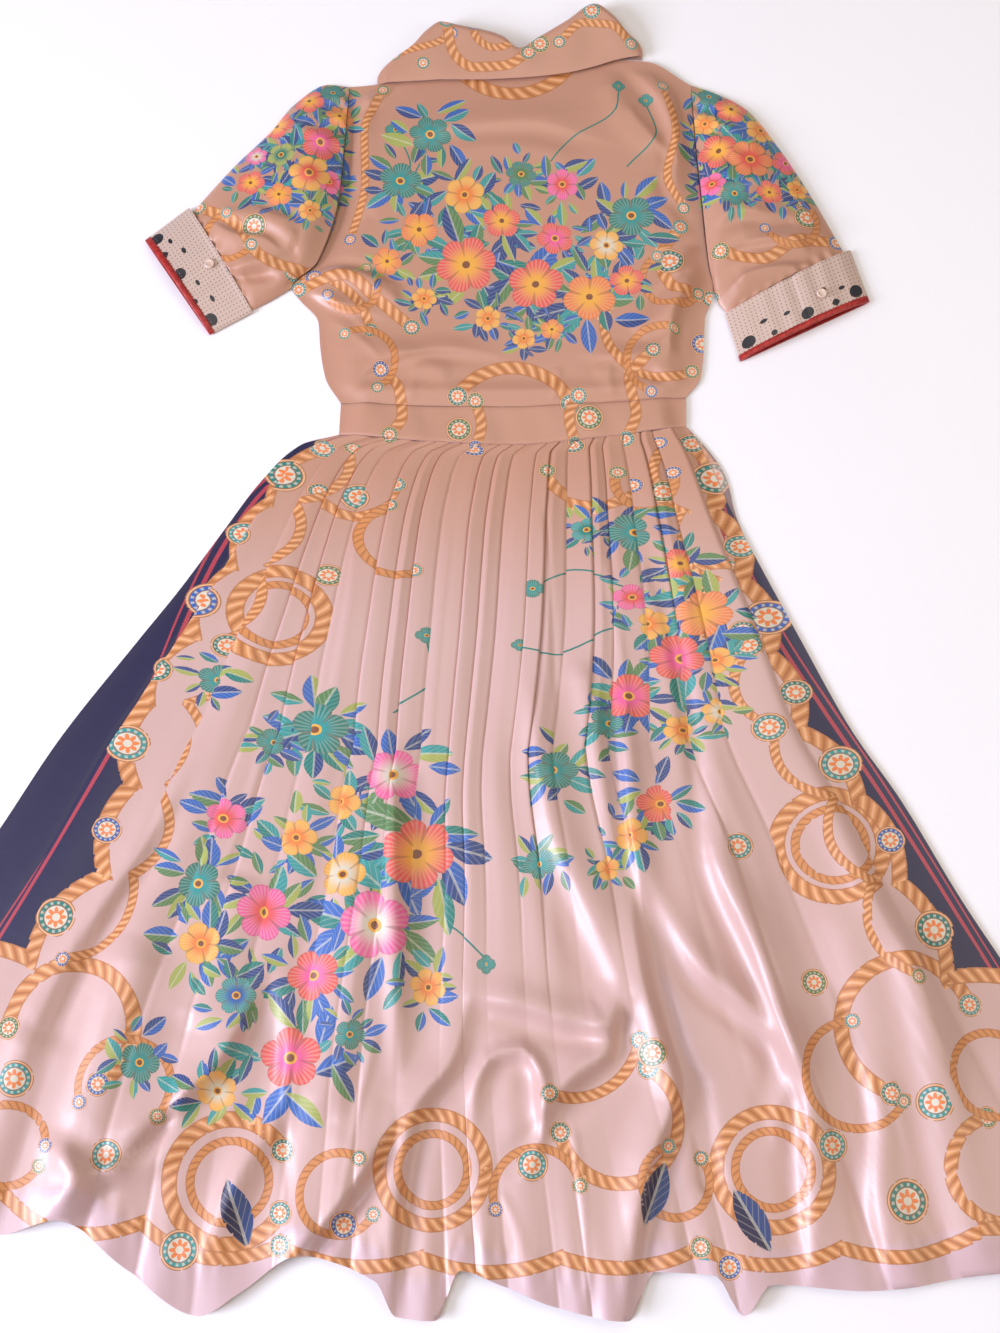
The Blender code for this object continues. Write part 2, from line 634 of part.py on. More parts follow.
def sleeve_plan(side, places, outs):
    """Plan grid of a sleeve, from the armhole to the cuff's seam and from the inner to the outer fold."""
    outer_table = LEFT_SLEEVE_OUTER if side < 0 else RIGHT_SLEEVE_OUTER
    inner_table = LEFT_SLEEVE_INNER if side < 0 else RIGHT_SLEEVE_INNER
    armhole = armhole_line(BODICE_LEFT if side < 0 else BODICE_RIGHT, side, places)
    seam = LEFT_CUFF_SEAM if side < 0 else RIGHT_CUFF_SEAM
    outer = np.stack([smooth_at(outer_table, outs, 1), smooth_at(outer_table, outs, 2)], axis=-1)
    inner = np.stack([smooth_at(inner_table, outs, 1), smooth_at(inner_table, outs, 2)], axis=-1)
    outer = outer + (armhole[-1] - outer[0]) * ((1 - outs) ** 2)[:, None]
    inner = inner + (armhole[0] - inner[0]) * ((1 - outs) ** 2)[:, None]
    inner_end, outer_end = line_between(seam, np.array(SLEEVE_END_SHARES))
    outer = outer + (outer_end - outer[-1]) * (outs**2)[:, None]
    inner = inner + (inner_end - inner[-1]) * (outs**2)[:, None]
    end = inner[-1] + (outer[-1] - inner[-1]) * places[:, None]
    out_share = outs[:, None, None]
    place_share = places[None, :, None]
    grid = (1 - place_share) * inner[:, None, :] + place_share * outer[:, None, :]
    grid = grid + (1 - out_share) * armhole[None, :, :] + out_share * end[None, :, :]
    corners = (1 - out_share) * ((1 - place_share) * inner[0] + place_share * outer[0])
    corners = corners + out_share * ((1 - place_share) * inner[-1] + place_share * outer[-1])
    return grid - corners


def tube_rings(grid, heights, wall, edge_height, extra):
    """Outer and inner rings of a flat tube with its underside on the floor, over a plan grid."""
    stations, places = grid.shape[:2]
    share = np.linspace(0.0, 1.0, places)
    crown = np.sin(math.pi * share) ** CROWN_POWER
    outer = []
    inner = []
    for station in range(stations):
        line = grid[station]
        width = math.hypot(*(line[-1] - line[0]))
        top = edge_height + (heights[station] - edge_height) * crown + extra[station]
        bottom = np.zeros(places)
        inset = wall / width
        inner_share = inset + (1 - 2 * inset) * share
        inner_x = np.interp(inner_share, share, line[:, 0])
        inner_y = np.interp(inner_share, share, line[:, 1])
        inner_top = np.interp(inner_share, share, top) - wall
        over = np.column_stack([line, top])
        under = np.column_stack([line, bottom])[1:-1][::-1]
        low_corners = 0.25 * edge_height
        first = [line[0][0], line[0][1], low_corners]
        last = [line[-1][0], line[-1][1], low_corners]
        outer.append(np.vstack([first, over, last, under]))
        inner_over = np.column_stack([inner_x, inner_y, inner_top])
        low = inner_over[0].copy()
        high = inner_over[-1].copy()
        low[2] = wall + 0.0001
        high[2] = wall + 0.0001
        inner_under = np.column_stack([inner_x, inner_y, np.full(places, wall)])[1:-1][::-1]
        inner.append(np.vstack([low, inner_over, high, inner_under]))
    return np.array(outer), np.array(inner)


def build_sleeve(name, side):
    """One short sleeve: a flat tube, gathered into a puff at its cap."""
    outs = np.linspace(0.0, 1.0, SLEEVE_STATIONS)
    places = np.linspace(0.0, 1.0, SLEEVE_PLACES)
    grid = sleeve_plan(side, places, outs)
    heights = smooth_at(SLEEVE_HEIGHT, outs)
    gather = GATHER_HEIGHT * np.sin(2 * math.pi * GATHER_COUNT * places)
    gather = gather * np.clip(2 * (places - GATHER_FROM), 0.0, 1.0) * np.clip((1 - places) / 0.1, 0.0, 1.0)
    fade = np.clip(1 - outs / GATHER_REACH, 0.0, 1.0) * np.clip(outs / GATHER_START, 0.0, 1.0)
    extra = fade[:, None] * gather[None, :]
    outer, inner = tube_rings(grid, heights, SLEEVE_WALL, SLEEVE_EDGE_HEIGHT, extra)
    ring_solid(name, outer, inner, new_material(SATIN_BEIGE))


def line_between(ends, places):
    """Evenly placed points from the first end to the second."""
    first = np.array(ends[0])
    second = np.array(ends[1])
    return first + (second - first) * places[:, None]


def cuff_grid(side, start, end, stations):
    """Plan grid of a cuff between two depths below its seam, in metres, or to the hem with a negative end."""
    places = np.linspace(0.0, 1.0, CUFF_PLACES)
    seam = line_between(LEFT_CUFF_SEAM if side < 0 else RIGHT_CUFF_SEAM, places)
    hem = line_between(LEFT_CUFF_HEM if side < 0 else RIGHT_CUFF_HEM, places)
    length = math.hypot(*(hem[CUFF_PLACES // 2] - seam[CUFF_PLACES // 2]))
    shares = np.linspace(start / length, 1.0 + end / length, stations)
    return seam[None, :, :] + (hem - seam)[None, :, :] * shares[:, None, None]


def cuff_top(side):
    """Extra height of the lapped half of a cuff across its width."""
    places = np.linspace(0.0, 1.0, CUFF_PLACES)
    lap = LEFT_LAP_PLACE if side < 0 else RIGHT_LAP_PLACE
    rise = np.clip((places - lap) / LAP_RISE_SHARE, 0.0, 1.0)
    return CUFF_LAP * rise * np.clip((1 - places) / LAP_FALL_SHARE, 0.0, 1.0)


def build_cuff(name, binding_name, button_name, side, button_place):
    """A cuff with its lapped half, its red bound edge and its button."""
    grid = cuff_grid(side, SEAM_GAP, -BINDING_DEPTH - SEAM_GAP, CUFF_STATIONS)
    extra = np.repeat(cuff_top(side)[None, :], CUFF_STATIONS, axis=0)
    heights = np.full(CUFF_STATIONS, CUFF_HEIGHT)
    outer, inner = tube_rings(grid, heights, CUFF_WALL, CUFF_EDGE_HEIGHT, extra)
    ring_solid(name, outer, inner, new_material(SATIN_BEIGE))
    grid = cuff_grid(side, 0.0, 0.0, 2)
    middle = CUFF_PLACES // 2
    length = math.hypot(*(grid[1][middle] - grid[0][middle]))
    step = (grid[1] - grid[0]) / length
    binding = np.stack([grid[1] - step * BINDING_DEPTH, grid[1] - step * BINDING_DEPTH / 2, grid[1]])
    extra = np.repeat(cuff_top(side)[None, :], 3, axis=0)
    heights = np.full(3, CUFF_HEIGHT + BINDING_PROUD)
    outer, inner = tube_rings(binding, heights, BINDING_WALL, BINDING_EDGE_HEIGHT, extra)
    ring_solid(binding_name, outer, inner, new_material(CUFF_RED))
    build_button(button_name, button_place, cuff_surface(side, button_place) + SEAM_GAP)


def cuff_surface(side, spot):
    """Height of a cuff's upper face at a plan point."""
    grid = cuff_grid(side, SEAM_GAP, -BINDING_DEPTH - SEAM_GAP, CUFF_STATIONS)
    places = np.linspace(0.0, 1.0, CUFF_PLACES)
    distance = np.hypot(grid[:, :, 0] - spot[0], grid[:, :, 1] - spot[1])
    nearest = np.unravel_index(np.argmin(distance), distance.shape)
    start = max(nearest[1] - 1, 0)
    crown = np.sin(math.pi * places) ** CROWN_POWER
    top = CUFF_EDGE_HEIGHT + (CUFF_HEIGHT - CUFF_EDGE_HEIGHT) * crown + cuff_top(side)
    return float(top[start : nearest[1] + 2].max())


def build_button(name, spot, height):
    """A round button with a slightly dished face."""
    turn = np.linspace(0.0, 2 * math.pi, BUTTON_SIDES, endpoint=False)
    circle = np.column_stack([np.cos(turn), np.sin(turn)])
    # Columns: radius, height
    profile = (
        (BUTTON_RADIUS - BUTTON_RIM, 0.0),
        (BUTTON_RADIUS, BUTTON_THICKNESS * 0.4),
        (BUTTON_RADIUS - BUTTON_RIM, BUTTON_THICKNESS),
        (BUTTON_RADIUS * 0.60, BUTTON_THICKNESS * 0.80),
    )
    points = []
    for radius, level in profile:
        for place in circle:
            points.append((spot[0] + radius * place[0], spot[1] + radius * place[1], height + level))
    faces = []
    for row in range(len(profile) - 1):
        for side in range(BUTTON_SIDES):
            after = (side + 1) % BUTTON_SIDES
            a = row * BUTTON_SIDES + side
            b = row * BUTTON_SIDES + after
            faces.append((a, b, b + BUTTON_SIDES, a + BUTTON_SIDES))
    faces.append(tuple(range(BUTTON_SIDES))[::-1])
    last = (len(profile) - 1) * BUTTON_SIDES
    faces.append(tuple(range(last, last + BUTTON_SIDES)))
    new_object(name, points, faces, new_material(PEARL))


def neck_line(x):
    """y of the back neck seam and shoulders."""
    return smooth_at(BACK_TOP, x)


def build_collar():
    """The turned-down collar leaf, rolled round its fold, and the stand inside it."""
    x = np.linspace(COLLAR_LEAF[0][0], COLLAR_LEAF[-1][0], COLLAR_COLUMNS)
    low = smooth_at(COLLAR_LEAF, x, 1)
    fold = smooth_at(COLLAR_LEAF, x, 2)
    height = smooth_at(COLLAR_LEAF, x, 3)
    end = neck_line(x) + COLLAR_OVERLAP
    end = np.minimum(end, fold - 0.5 * height - FOLD_CLEARANCE)
    end = np.maximum(end, neck_line(x) + SEAM_GAP)
    half = COLLAR_THICKNESS / 2
    outer = []
    inner = []
    for index in range(COLLAR_COLUMNS):
        radius = 0.5 * height[index] - half
        centre = fold[index] - radius - half
        edge_level = min(COLLAR_EDGE_LEVEL, height[index] - 0.0001)
        path = []
        for share in COLLAR_LEAF_SHARES:
            rise = (height[index] - half - edge_level) * share**COLLAR_BOW_POWER
            path.append((low[index] + (centre - low[index]) * share, edge_level + rise))
        for turn in COLLAR_FOLD_TURNS:
            angle = math.radians(turn)
            path.append((centre + radius * math.cos(angle), half + radius + radius * math.sin(angle)))
        path.append((min(end[index], centre - COLLAR_LEAST_RUN), half))
        path = np.array(path)
        tangent = np.gradient(path, axis=0)
        tangent /= np.linalg.norm(tangent, axis=1)[:, None]
        normal = np.column_stack([-tangent[:, 1], tangent[:, 0]])
        column_x = np.full((len(path), 1), x[index])
        outside = path + normal * half
        inside = path - normal * half
        outer.append(np.hstack([column_x, outside]))
        inner.append(np.hstack([column_x, inside]))
    sheet_solid("collar_leaf", np.array(outer), np.array(inner), new_material(SATIN_BEIGE))

    x = np.linspace(-STAND_HALF_WIDTH, STAND_HALF_WIDTH, STAND_COLUMNS)
    low = neck_line(x) + SEAM_GAP
    fold = smooth_at(COLLAR_LEAF, x, 2)
    high = fold - 0.5 * smooth_at(COLLAR_LEAF, x, 3) - STAND_DROP
    share = np.linspace(0.0, 1.0, STAND_ROWS)[:, None]
    y = low[None, :] + (high - low)[None, :] * share
    grid_x = np.repeat(x[None, :], STAND_ROWS, axis=0)
    level = UPPER_BODICE_FLOOR + STAND_LIFT
    lower = np.stack([grid_x, y, np.full(y.shape, level)], axis=2)
    upper = np.stack([grid_x, y, np.full(y.shape, level + COLLAR_THICKNESS)], axis=2)
    sheet_solid("collar_stand", upper, lower, new_material(SATIN_BEIGE))


def centre_on_floor():
    """Moves every piece so that the whole stands on z = 0 with its middle over the origin."""
    low = np.full(3, np.inf)
    high = np.full(3, -np.inf)
    for item in bpy.data.objects:
        points = np.array([vertex.co[:] for vertex in item.data.vertices])
        low = np.minimum(low, points.min(axis=0))
        high = np.maximum(high, points.max(axis=0))
    shift = np.array([-(low[0] + high[0]) / 2, -(low[1] + high[1]) / 2, -low[2]])
    for item in bpy.data.objects:
        for vertex in item.data.vertices:
            vertex.co = [vertex.co[axis] + shift[axis] for axis in range(3)]


def build_dress():
    """Every piece of the dress."""
    clear_scene()
    build_skirt()
    build_waistband()
    build_bodice()
    build_sleeve("sleeve_left", -1)
    build_sleeve("sleeve_right", 1)
    build_cuff("cuff_left", "cuff_binding_left", "cuff_button_left", -1, LEFT_BUTTON)
    build_cuff("cuff_right", "cuff_binding_right", "cuff_button_right", 1, RIGHT_BUTTON)
    build_collar()
    centre_on_floor()


build_dress()
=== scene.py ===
"""Looks of the pleated midi dress: printed satin, pleats, folds and stitches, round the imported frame."""

import math

import bpy
import numpy as np
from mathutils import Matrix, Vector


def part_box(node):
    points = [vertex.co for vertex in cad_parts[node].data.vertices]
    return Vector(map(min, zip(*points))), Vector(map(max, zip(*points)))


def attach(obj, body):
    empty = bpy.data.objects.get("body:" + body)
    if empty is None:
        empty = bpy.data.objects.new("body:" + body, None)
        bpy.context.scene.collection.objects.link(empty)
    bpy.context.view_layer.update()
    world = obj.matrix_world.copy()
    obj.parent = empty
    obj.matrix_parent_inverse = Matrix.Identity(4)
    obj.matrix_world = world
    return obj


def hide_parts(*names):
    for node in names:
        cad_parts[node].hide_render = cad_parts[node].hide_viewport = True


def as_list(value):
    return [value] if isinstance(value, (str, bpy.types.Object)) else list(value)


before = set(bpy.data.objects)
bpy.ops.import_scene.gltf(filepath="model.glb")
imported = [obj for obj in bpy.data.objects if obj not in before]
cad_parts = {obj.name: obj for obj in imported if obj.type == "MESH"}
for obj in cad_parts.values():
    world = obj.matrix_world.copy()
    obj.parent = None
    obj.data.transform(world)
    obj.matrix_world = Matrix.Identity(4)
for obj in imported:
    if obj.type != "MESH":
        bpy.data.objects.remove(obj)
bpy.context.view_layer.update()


def metres(rows, kept=0):
    """Rows in millimetres as rows in metres. The first columns that kept counts stay as they are."""
    return tuple(tuple(row[:kept]) + tuple(value / 1000 for value in row[kept:]) for row in rows)


# From the dress's own plan (origin at the middle of the waist seam) to the row frame
PLAN_SHIFT = np.array([0.0325, 0.15152, 0.0])

# The left side of the photo and the right one
SIDES = (-1, 1)
SEAM_GAP = 0.0003
CLOTH = 0.0007
PLEAT_COUNT = 22
PLEAT_SPREAD = 0.40
# Where each pleat is highest, as a share of its width, from the middle of the skirt out to each side
PEAKS = {
    -1: (0.90, 0.45, 0.92, 0.60, 0.94, 0.50, 0.92, 0.90, 0.55, 0.92, 0.94),
    1: (0.30, 0.42, 0.92, 0.36, 0.88, 0.40, 0.34, 0.90, 0.44, 0.92, 0.94),
}
# Where the large folds take over from the pleats. Columns: x, y, reach along x, reach along y, share left
CALM_PLACES = (
    (0.070, -0.600, 0.150, 0.170, 0.12),
    (0.130, -0.380, 0.060, 0.120, 0.40),
    (-0.060, -0.580, 0.070, 0.120, 0.30),
    (-0.250, -0.640, 0.100, 0.110, 0.30),
    (0.260, -0.640, 0.080, 0.120, 0.50),
)
CREASE_DEPTH = 0.0009
COLUMNS_PER_PLEAT = 14
SKIRT_ROWS = 210
UPPER_SKIRT_TOP = 0.0041
# How far the cut edges of the skirt dip
EDGE_DROP = 0.0018
UPPER_BAND_TOP = 0.0041
UPPER_BODICE_TOP = 0.0034
BODICE_LOFT = 0.0034
UNDERARM_SHARE = 0.35

# Columns: share of the way down, height of the pleat's step, share of a soft wave in its form
PLEAT_FORM = ((0, 0.0014, 0), (0.1, 0.0018, 0), (0.4, 0.0022, 0.25), (0.75, 0.003, 0.75), (1, 0.0052, 0.9))
# The pleats lie in pairs that tilt to the left or to the right. Columns: across, height
UPPER_TILTS = metres((
    (-1, 0), (-0.93, 1.2), (-0.855, 0.2), (-0.785, 1.8), (-0.675, 0.2), (-0.532, 1.4), (-0.402, 3.4),
    (-0.285, 1), (-0.247, 2.2), (-0.12, 0), (-0.065, 1.6), (0.088, 0), (0.203, 3.2), (0.373, 0.2),
    (0.463, 2.4), (0.625, 0.4), (0.663, 0), (0.7, 1.8), (0.808, 0.2), (0.91, 1.6), (1, 0),
), 1)
LOWER_TILTS = metres((
    (-1, 0), (-0.857, 0.8), (-0.77, 4), (-0.662, 0.8), (-0.535, 4.4), (-0.46, 1.4), (-0.365, 5.2),
    (-0.112, 0.4), (0.018, 3.8), (0.088, 2.6), (0.272, 8), (0.472, 0.4), (0.522, 3), (0.595, 0.6),
    (0.698, 4), (0.798, 0.8), (0.885, 3.6), (0.96, 0.8), (1, 0),
), 1)
# Uneven widths of the pleats. Columns: side, shift in pleats, waves from the middle to the side
PLEAT_SHIFTS = ((-1, 0.22, 3), (1, 0.16, 4))
SKIRT_LOFT = metres(((0, 0.6), (0.08, 1.8), (0.35, 2.6), (0.8, 3), (1, 1.2)), 1)
# Columns, in millimetres: y, x
SKIRT_SIDES = {
    -1: metres((
        (-650, -620), (-520, -556), (-381, -472), (-296, -423), (-198, -354), (-148, -318), (-87, -278),
        (-35, -243), (2, -206), (12, -170),
    )),
    1: metres((
        (-690, 555), (-600, 502), (-499, 439), (-445, 407), (-353, 358), (-286, 316), (-198, 273), (-76, 216),
        (0, 184), (20, 171),
    )),
}
# Columns, in millimetres: x, y
WAIST_SEAM = metres(((-170, 12), (-90, 4), (0, 0), (90, 8), (171, 20)))
HEM = metres((
    (-620, -650), (-530, -706), (-443, -734), (-392, -722), (-329, -763), (-267, -799), (-232, -780),
    (-184, -751), (-118, -771), (-100, -800), (-67, -803), (-46, -763), (-10, -775), (39, -793), (97, -803),
    (120, -764), (173, -767), (195, -799), (219, -774), (300, -779), (402, -766), (440, -762), (510, -728),
    (555, -690),
))
HEM_TREND = metres(((-1, -650), (-0.6, -735), (0, -785), (0.6, -770), (1, -690)), 1)

# Folds. Columns: start x, start y, end x, end y, bow to the side, half width, height
SKIRT_FOLDS = metres((
    (60, -220, 94, -420, 4, 12, 5), (135, -110, 176, -400, 6, 10, -6), (-140, -420, -170, -640, 8, 22, 7),
    (-250, -420, -290, -560, 10, 26, 6), (-330, -480, -392, -730, 6, 24, 11),
    (-200, -480, -236, -790, 4, 20, -5), (300, -440, 340, -780, 6, 24, 7),
    (350, -470, 402, -766, -6, 20, 10), (-420, -560, -480, -720, 4, 22, 8),
    (440, -560, 480, -730, 0, 22, 8), (160, -600, 172, -700, 0, 9, -9),
))
# Long folds with one steep and one slow side, from the top down.
# Columns, in millimetres: height, steep width, slow width, 1 where the slow side is on the right and -1 on
# the left, nodes of the path
LONG_FOLDS = (
    (13, 6, 24, 1, ((168, -330), (177, -406), (213, -499), (238, -581), (250, -622), (248, -775))),
    (13, 6, 18, -1, ((110, -430), (121, -519), (134, -568), (146, -612), (120, -685), (98, -800))),
    (10, 6, 18, 1, ((126, -440), (163, -512), (214, -557), (234, -588), (226, -640))),
    (9, 6, 20, 1, ((-48, -536), (5, -547), (50, -561), (78, -564), (100, -545))),
    (11, 7, 18, -1, ((98, -520), (88, -581), (56, -608), (18, -645))),
    (8, 6, 7, 1, ((-30, -640), (-27, -610), (-13, -588), (4, -585), (18, -602), (21, -635), (6, -680))),
    (10, 6, 16, -1, ((-34, -535), (-48, -588), (-82, -635), (-95, -700), (-100, -790))),
    (10, 9, 12, -1, ((-104, -300), (-100, -380), (-97, -460), (-92, -590))),
    (9, 10, 24, 1, ((6, -240), (16, -318), (30, -391), (58, -456), (94, -540))),
    (8, 5, 16, 1, ((96, -250), (100, -318), (103, -373), (115, -460))),
    (13, 6, 22, -1, ((-222, -520), (-234, -550), (-258, -600), (-295, -631), (-350, -690))),
    (10, 9, 13, 1, ((-216, -500), (-207, -581), (-215, -628), (-239, -668), (-270, -740))),
    (13, 5, 32, -1, ((-96, -630), (-116, -668), (-140, -704), (-170, -740), (-200, -770))),
    (10, 7, 12, -1, ((-400, -650), (-376, -668), (-366, -690), (-386, -722))),
    (8, 6, 14, 1, ((-285, -600), (-300, -640), (-330, -670), (-372, -676))),
    (7, 6, 16, 1, ((296, -560), (312, -640), (306, -700), (316, -775))),
    (8, 6, 18, -1, ((-290, -320), (-330, -400), (-390, -500), (-440, -620))),
    (5.5, 8, 18, 1, ((262, -330), (300, -420), (350, -540), (372, -640))),
)
# Small creases that only show close up
SKIRT_CREASES = metres((
    (-150, -100, -176, -300, 3, 3, 1.2), (-60, -90, -78, -330, -2, 3, 1), (30, -60, 40, -260, 2, 3, -1),
    (90, -120, 112, -360, 3, 4, 1.2), (-230, -300, -280, -460, 4, 4, 1.4),
    (-120, -560, -150, -740, -4, 4, 1.8), (-210, -600, -190, -760, 4, 4, -1.6),
    (-360, -520, -400, -700, 6, 5, 1.8), (50, -640, 62, -790, 4, 4, 1.8), (280, -520, 300, -700, 4, 5, 1.8),
    (330, -600, 366, -755, -4, 5, 2), (-10, -700, 14, -780, 4, 4, 1.8),
))
# Columns, in millimetres: y, x
BODICE_SIDES = {
    -1: metres((
        (46, -169), (73, -185), (105, -191), (135, -194), (160, -214), (172, -222), (200, -196), (272, -176),
        (340, -172), (406, -169),
    )),
    1: metres((
        (52, 172), (73, 187), (101, 191), (140, 194), (158, 201), (172, 203), (200, 199), (272, 194),
        (340, 190), (408, 188),
    )),
}
# Columns, in millimetres: x, y
BODICE_SEAM = metres(((-169, 46), (-85, 42), (0, 41), (85, 45), (172, 52)))
BACK_TOP = metres(((-169, 406), (-140, 408), (-105, 424), (0, 428), (90, 438), (140, 436), (188, 408)))
FRONT_TOP = metres((
    (-169, 406), (-140, 408), (-105, 420), (-75, 400), (-40, 372), (0, 362), (45, 376), (85, 410),
    (115, 434), (140, 436), (188, 408),
))
BODICE_FOLDS = metres((
    (-222, 185, -110, 150, 12, 10, 4), (-215, 200, -140, 260, -6, 9, -2.5), (196, 200, 120, 120, 10, 11, 5),
    (192, 240, 150, 300, 6, 10, -2.5), (-150, 395, -170, 300, 4, 8, 3), (100, 415, 150, 330, -8, 14, 3),
    (-175, 60, 170, 64, -6, 9, 3), (-160, 110, -60, 70, 6, 12, 2.5), (168, 105, 80, 75, -4, 12, 2.5),
))
# The columns of LONG_FOLDS
BODICE_LONG_FOLDS = (
    (4.2, 4, 14, 1, ((-150, 410), (-168, 372), (-164, 320), (-182, 268))),
    (4, 4, 12, -1, ((-112, 420), (-132, 392), (-160, 372))),
    (5.2, 4, 12, -1, ((-222, 188), (-190, 194), (-156, 190), (-120, 176))),
    (4.6, 4, 12, 1, ((-212, 168), (-180, 150), (-140, 138))),
    (5.8, 4, 14, -1, ((202, 192), (186, 172), (166, 140), (160, 104))),
    (4.4, 4, 12, 1, ((198, 226), (176, 214), (150, 180))),
    (4, 5, 16, 1, ((118, 430), (150, 386), (166, 330), (160, 280))),
    (3, 4, 12, -1, ((150, 418), (176, 370), (184, 310))),
    (3.2, 4, 12, 1, ((-164, 56), (-126, 86), (-70, 98), (-20, 92))),
    (3.2, 4, 14, -1, ((166, 62), (128, 86), (80, 92))),
    (2.4, 6, 20, 1, ((-120, 330), (-60, 350), (20, 356), (80, 340))),
)
SLEEVE_LONG_FOLDS = (
    (4.8, 4, 12, -1, ((-226, 176), (-252, 186), (-284, 182), (-300, 194))),
    (4, 4, 14, 1, ((-228, 206), (-250, 222), (-276, 226), (-306, 246))),
    (3.4, 4, 12, 1, ((-210, 236), (-236, 246), (-262, 256))),
    (5, 4, 14, -1, ((206, 158), (232, 180), (262, 190), (300, 196))),
    (4, 4, 14, 1, ((206, 196), (240, 212), (276, 214), (318, 230))),
    (3.2, 4, 12, 1, ((206, 232), (232, 244), (262, 244))),
)
BODICE_CREASES = metres((
    (-205, 165, -140, 120, 6, 4, 1.2), (-190, 140, -130, 90, 4, 4, 1), (185, 150, 130, 95, 4, 4, 1.2),
    (180, 190, 140, 150, -4, 5, -1.2), (-100, 50, -90, 85, 2, 5, 1), (-40, 48, -36, 78, 2, 4, 0.9),
    (40, 48, 46, 82, -2, 4, 0.9), (100, 52, 96, 90, 2, 5, 1), (-60, 330, 60, 318, 10, 12, 1),
    (120, 380, 170, 320, -4, 6, 1.4), (-165, 330, -150, 250, 3, 6, 1.2),
))

# Sleeves. Columns: share of the way out, x, y
SLEEVE_OUTER = {
    -1: metres((
        (0, -169, 406), (0.12, -192, 409), (0.28, -226, 385), (0.45, -250, 352), (0.72, -284, 314),
        (1, -324, 262),
    ), 1),
    1: metres((
        (0, 188, 408), (0.12, 212, 399), (0.28, 244, 380), (0.48, 274, 338), (0.75, 304, 284), (1, 333, 222),
    ), 1),
}
SLEEVE_INNER = {
    -1: metres(((0, -222, 172), (0.5, -243, 158), (1, -262, 147)), 1),
    1: metres(((0, 203, 172), (0.5, 206, 156), (1, 212, 144)), 1),
}
SLEEVE_HEIGHT = metres(((0, 10), (0.25, 22), (0.6, 20), (0.85, 18), (1, 12)), 1)
SLEEVE_END_SHARES = (0.02, 0.95)
SLEEVE_FOLDS = metres((
    (-300, 250, -215, 215, 8, 8, 3), (-270, 180, -215, 210, -6, 7, -3), (-265, 290, -200, 290, 6, 8, 2),
    (-240, 350, -185, 330, 4, 7, 2), (225, 175, 300, 215, 8, 8, 3.5), (215, 200, 290, 240, 6, 7, -2.5),
    (205, 270, 280, 290, 6, 8, 2), (205, 340, 255, 330, -4, 7, 2),
))
GATHER_COUNT = 9
GATHER_HEIGHT = 0.0024

CUFF_SEAM = {
    -1: metres(((-260, 145), (-330, 264))),
    1: metres(((214, 143), (344, 215))),
}
CUFF_HEM = {
    -1: metres(((-302, 120), (-373, 226))),
    1: metres(((227, 91), (360, 157))),
}
CUFF_HEIGHT = 0.0120
CUFF_EDGE_HEIGHT = 0.0050
CUFF_LAP = 0.0012
CUFF_PRINT_WIDTH = 0.13
LAP_PLACE = {
    -1: 0.46,
    1: 0.52,
}
BINDING_DEPTH = 0.0060
BUTTON_RADIUS = 0.0052
BUTTON_THICKNESS = 0.0024
# Columns: radius, height
BUTTON_PROFILE = (
    (0.0001, 0.0),
    (BUTTON_RADIUS - 0.0008, 0.0),
    (BUTTON_RADIUS - 0.0001, BUTTON_THICKNESS * 0.30),
    (BUTTON_RADIUS, BUTTON_THICKNESS * 0.55),
    (BUTTON_RADIUS - 0.0005, BUTTON_THICKNESS * 0.92),
    (BUTTON_RADIUS - 0.0012, BUTTON_THICKNESS),
    (BUTTON_RADIUS * 0.62, BUTTON_THICKNESS * 0.80),
    (BUTTON_RADIUS * 0.30, BUTTON_THICKNESS * 0.74),
    (0.0001, BUTTON_THICKNESS * 0.73),
)
BUTTONS = {
    -1: (-0.3040, 0.1930),
    1: (0.3100, 0.1600),
}

# Columns, in millimetres: x, y of the leaf's lower edge, y of its fold, height of its fold
COLLAR_LEAF = metres((
    (-140, 407, 417, 6), (-136, 407, 425, 7), (-122, 408, 438, 12), (-104, 409, 452, 15),
    (-88, 410, 470, 18), (-74, 411, 479, 19), (-55, 411, 475, 18), (-30, 411, 470, 17), (-10, 412, 463, 16),
    (8, 413, 449, 15), (30, 415, 462, 16.5), (58, 419, 480, 19), (88, 427, 500, 21), (108, 434, 486, 19),
    (124, 438, 466, 14), (134, 440, 458, 9), (138, 441, 450, 6.5),
))
COLLAR_SOLID = 0.0016
COLLAR_EDGE_LEVEL = 0.0088

# Colours, linear
# The step from BEIGE to the darker, warmer TAN is painted light: TAN paints the dimmer warm light and shade
# on the bodice, sleeves, collar, waistband and top of the skirt, and BEIGE the cooler light lower on the
# skirt.
BEIGE = (0.63, 0.415, 0.365)
TAN = (0.535, 0.275, 0.178)
CUFF_CREAM = (0.62, 0.47, 0.39)
NAVY = (0.012, 0.010, 0.052)
GOLD = (0.66, 0.27, 0.085)
PALE_GOLD = (0.84, 0.45, 0.22)
CORD_EDGE = (0.40, 0.135, 0.035)
BROWN = (0.22, 0.075, 0.028)
RED = (0.46, 0.030, 0.022)
DARK_RED = (0.30, 0.016, 0.014)
STRIPE_RED = (0.42, 0.045, 0.065)
PEARL = (0.82, 0.66, 0.54)
PEARL_SHADE = (0.66, 0.46, 0.36)
THREAD = (0.70, 0.50, 0.42)
CORAL = (0.78, 0.10, 0.075)
PINK = (0.84, 0.12, 0.33)
YELLOW = (0.86, 0.42, 0.055)
ORANGE = (0.82, 0.22, 0.05)
CREAM = (0.70, 0.66, 0.52)
TEAL = (0.010, 0.20, 0.16)
SEA = (0.030, 0.30, 0.28)
BLUE = (0.025, 0.12, 0.42)
DEEP_BLUE = (0.020, 0.055, 0.20)
GREEN = (0.10, 0.22, 0.075)
LIME = (0.36, 0.40, 0.08)
BLACK = (0.010, 0.010, 0.016)
# Beige with a quarter of lilac
HEM_COLOUR = (0.6225, 0.42625, 0.42875)

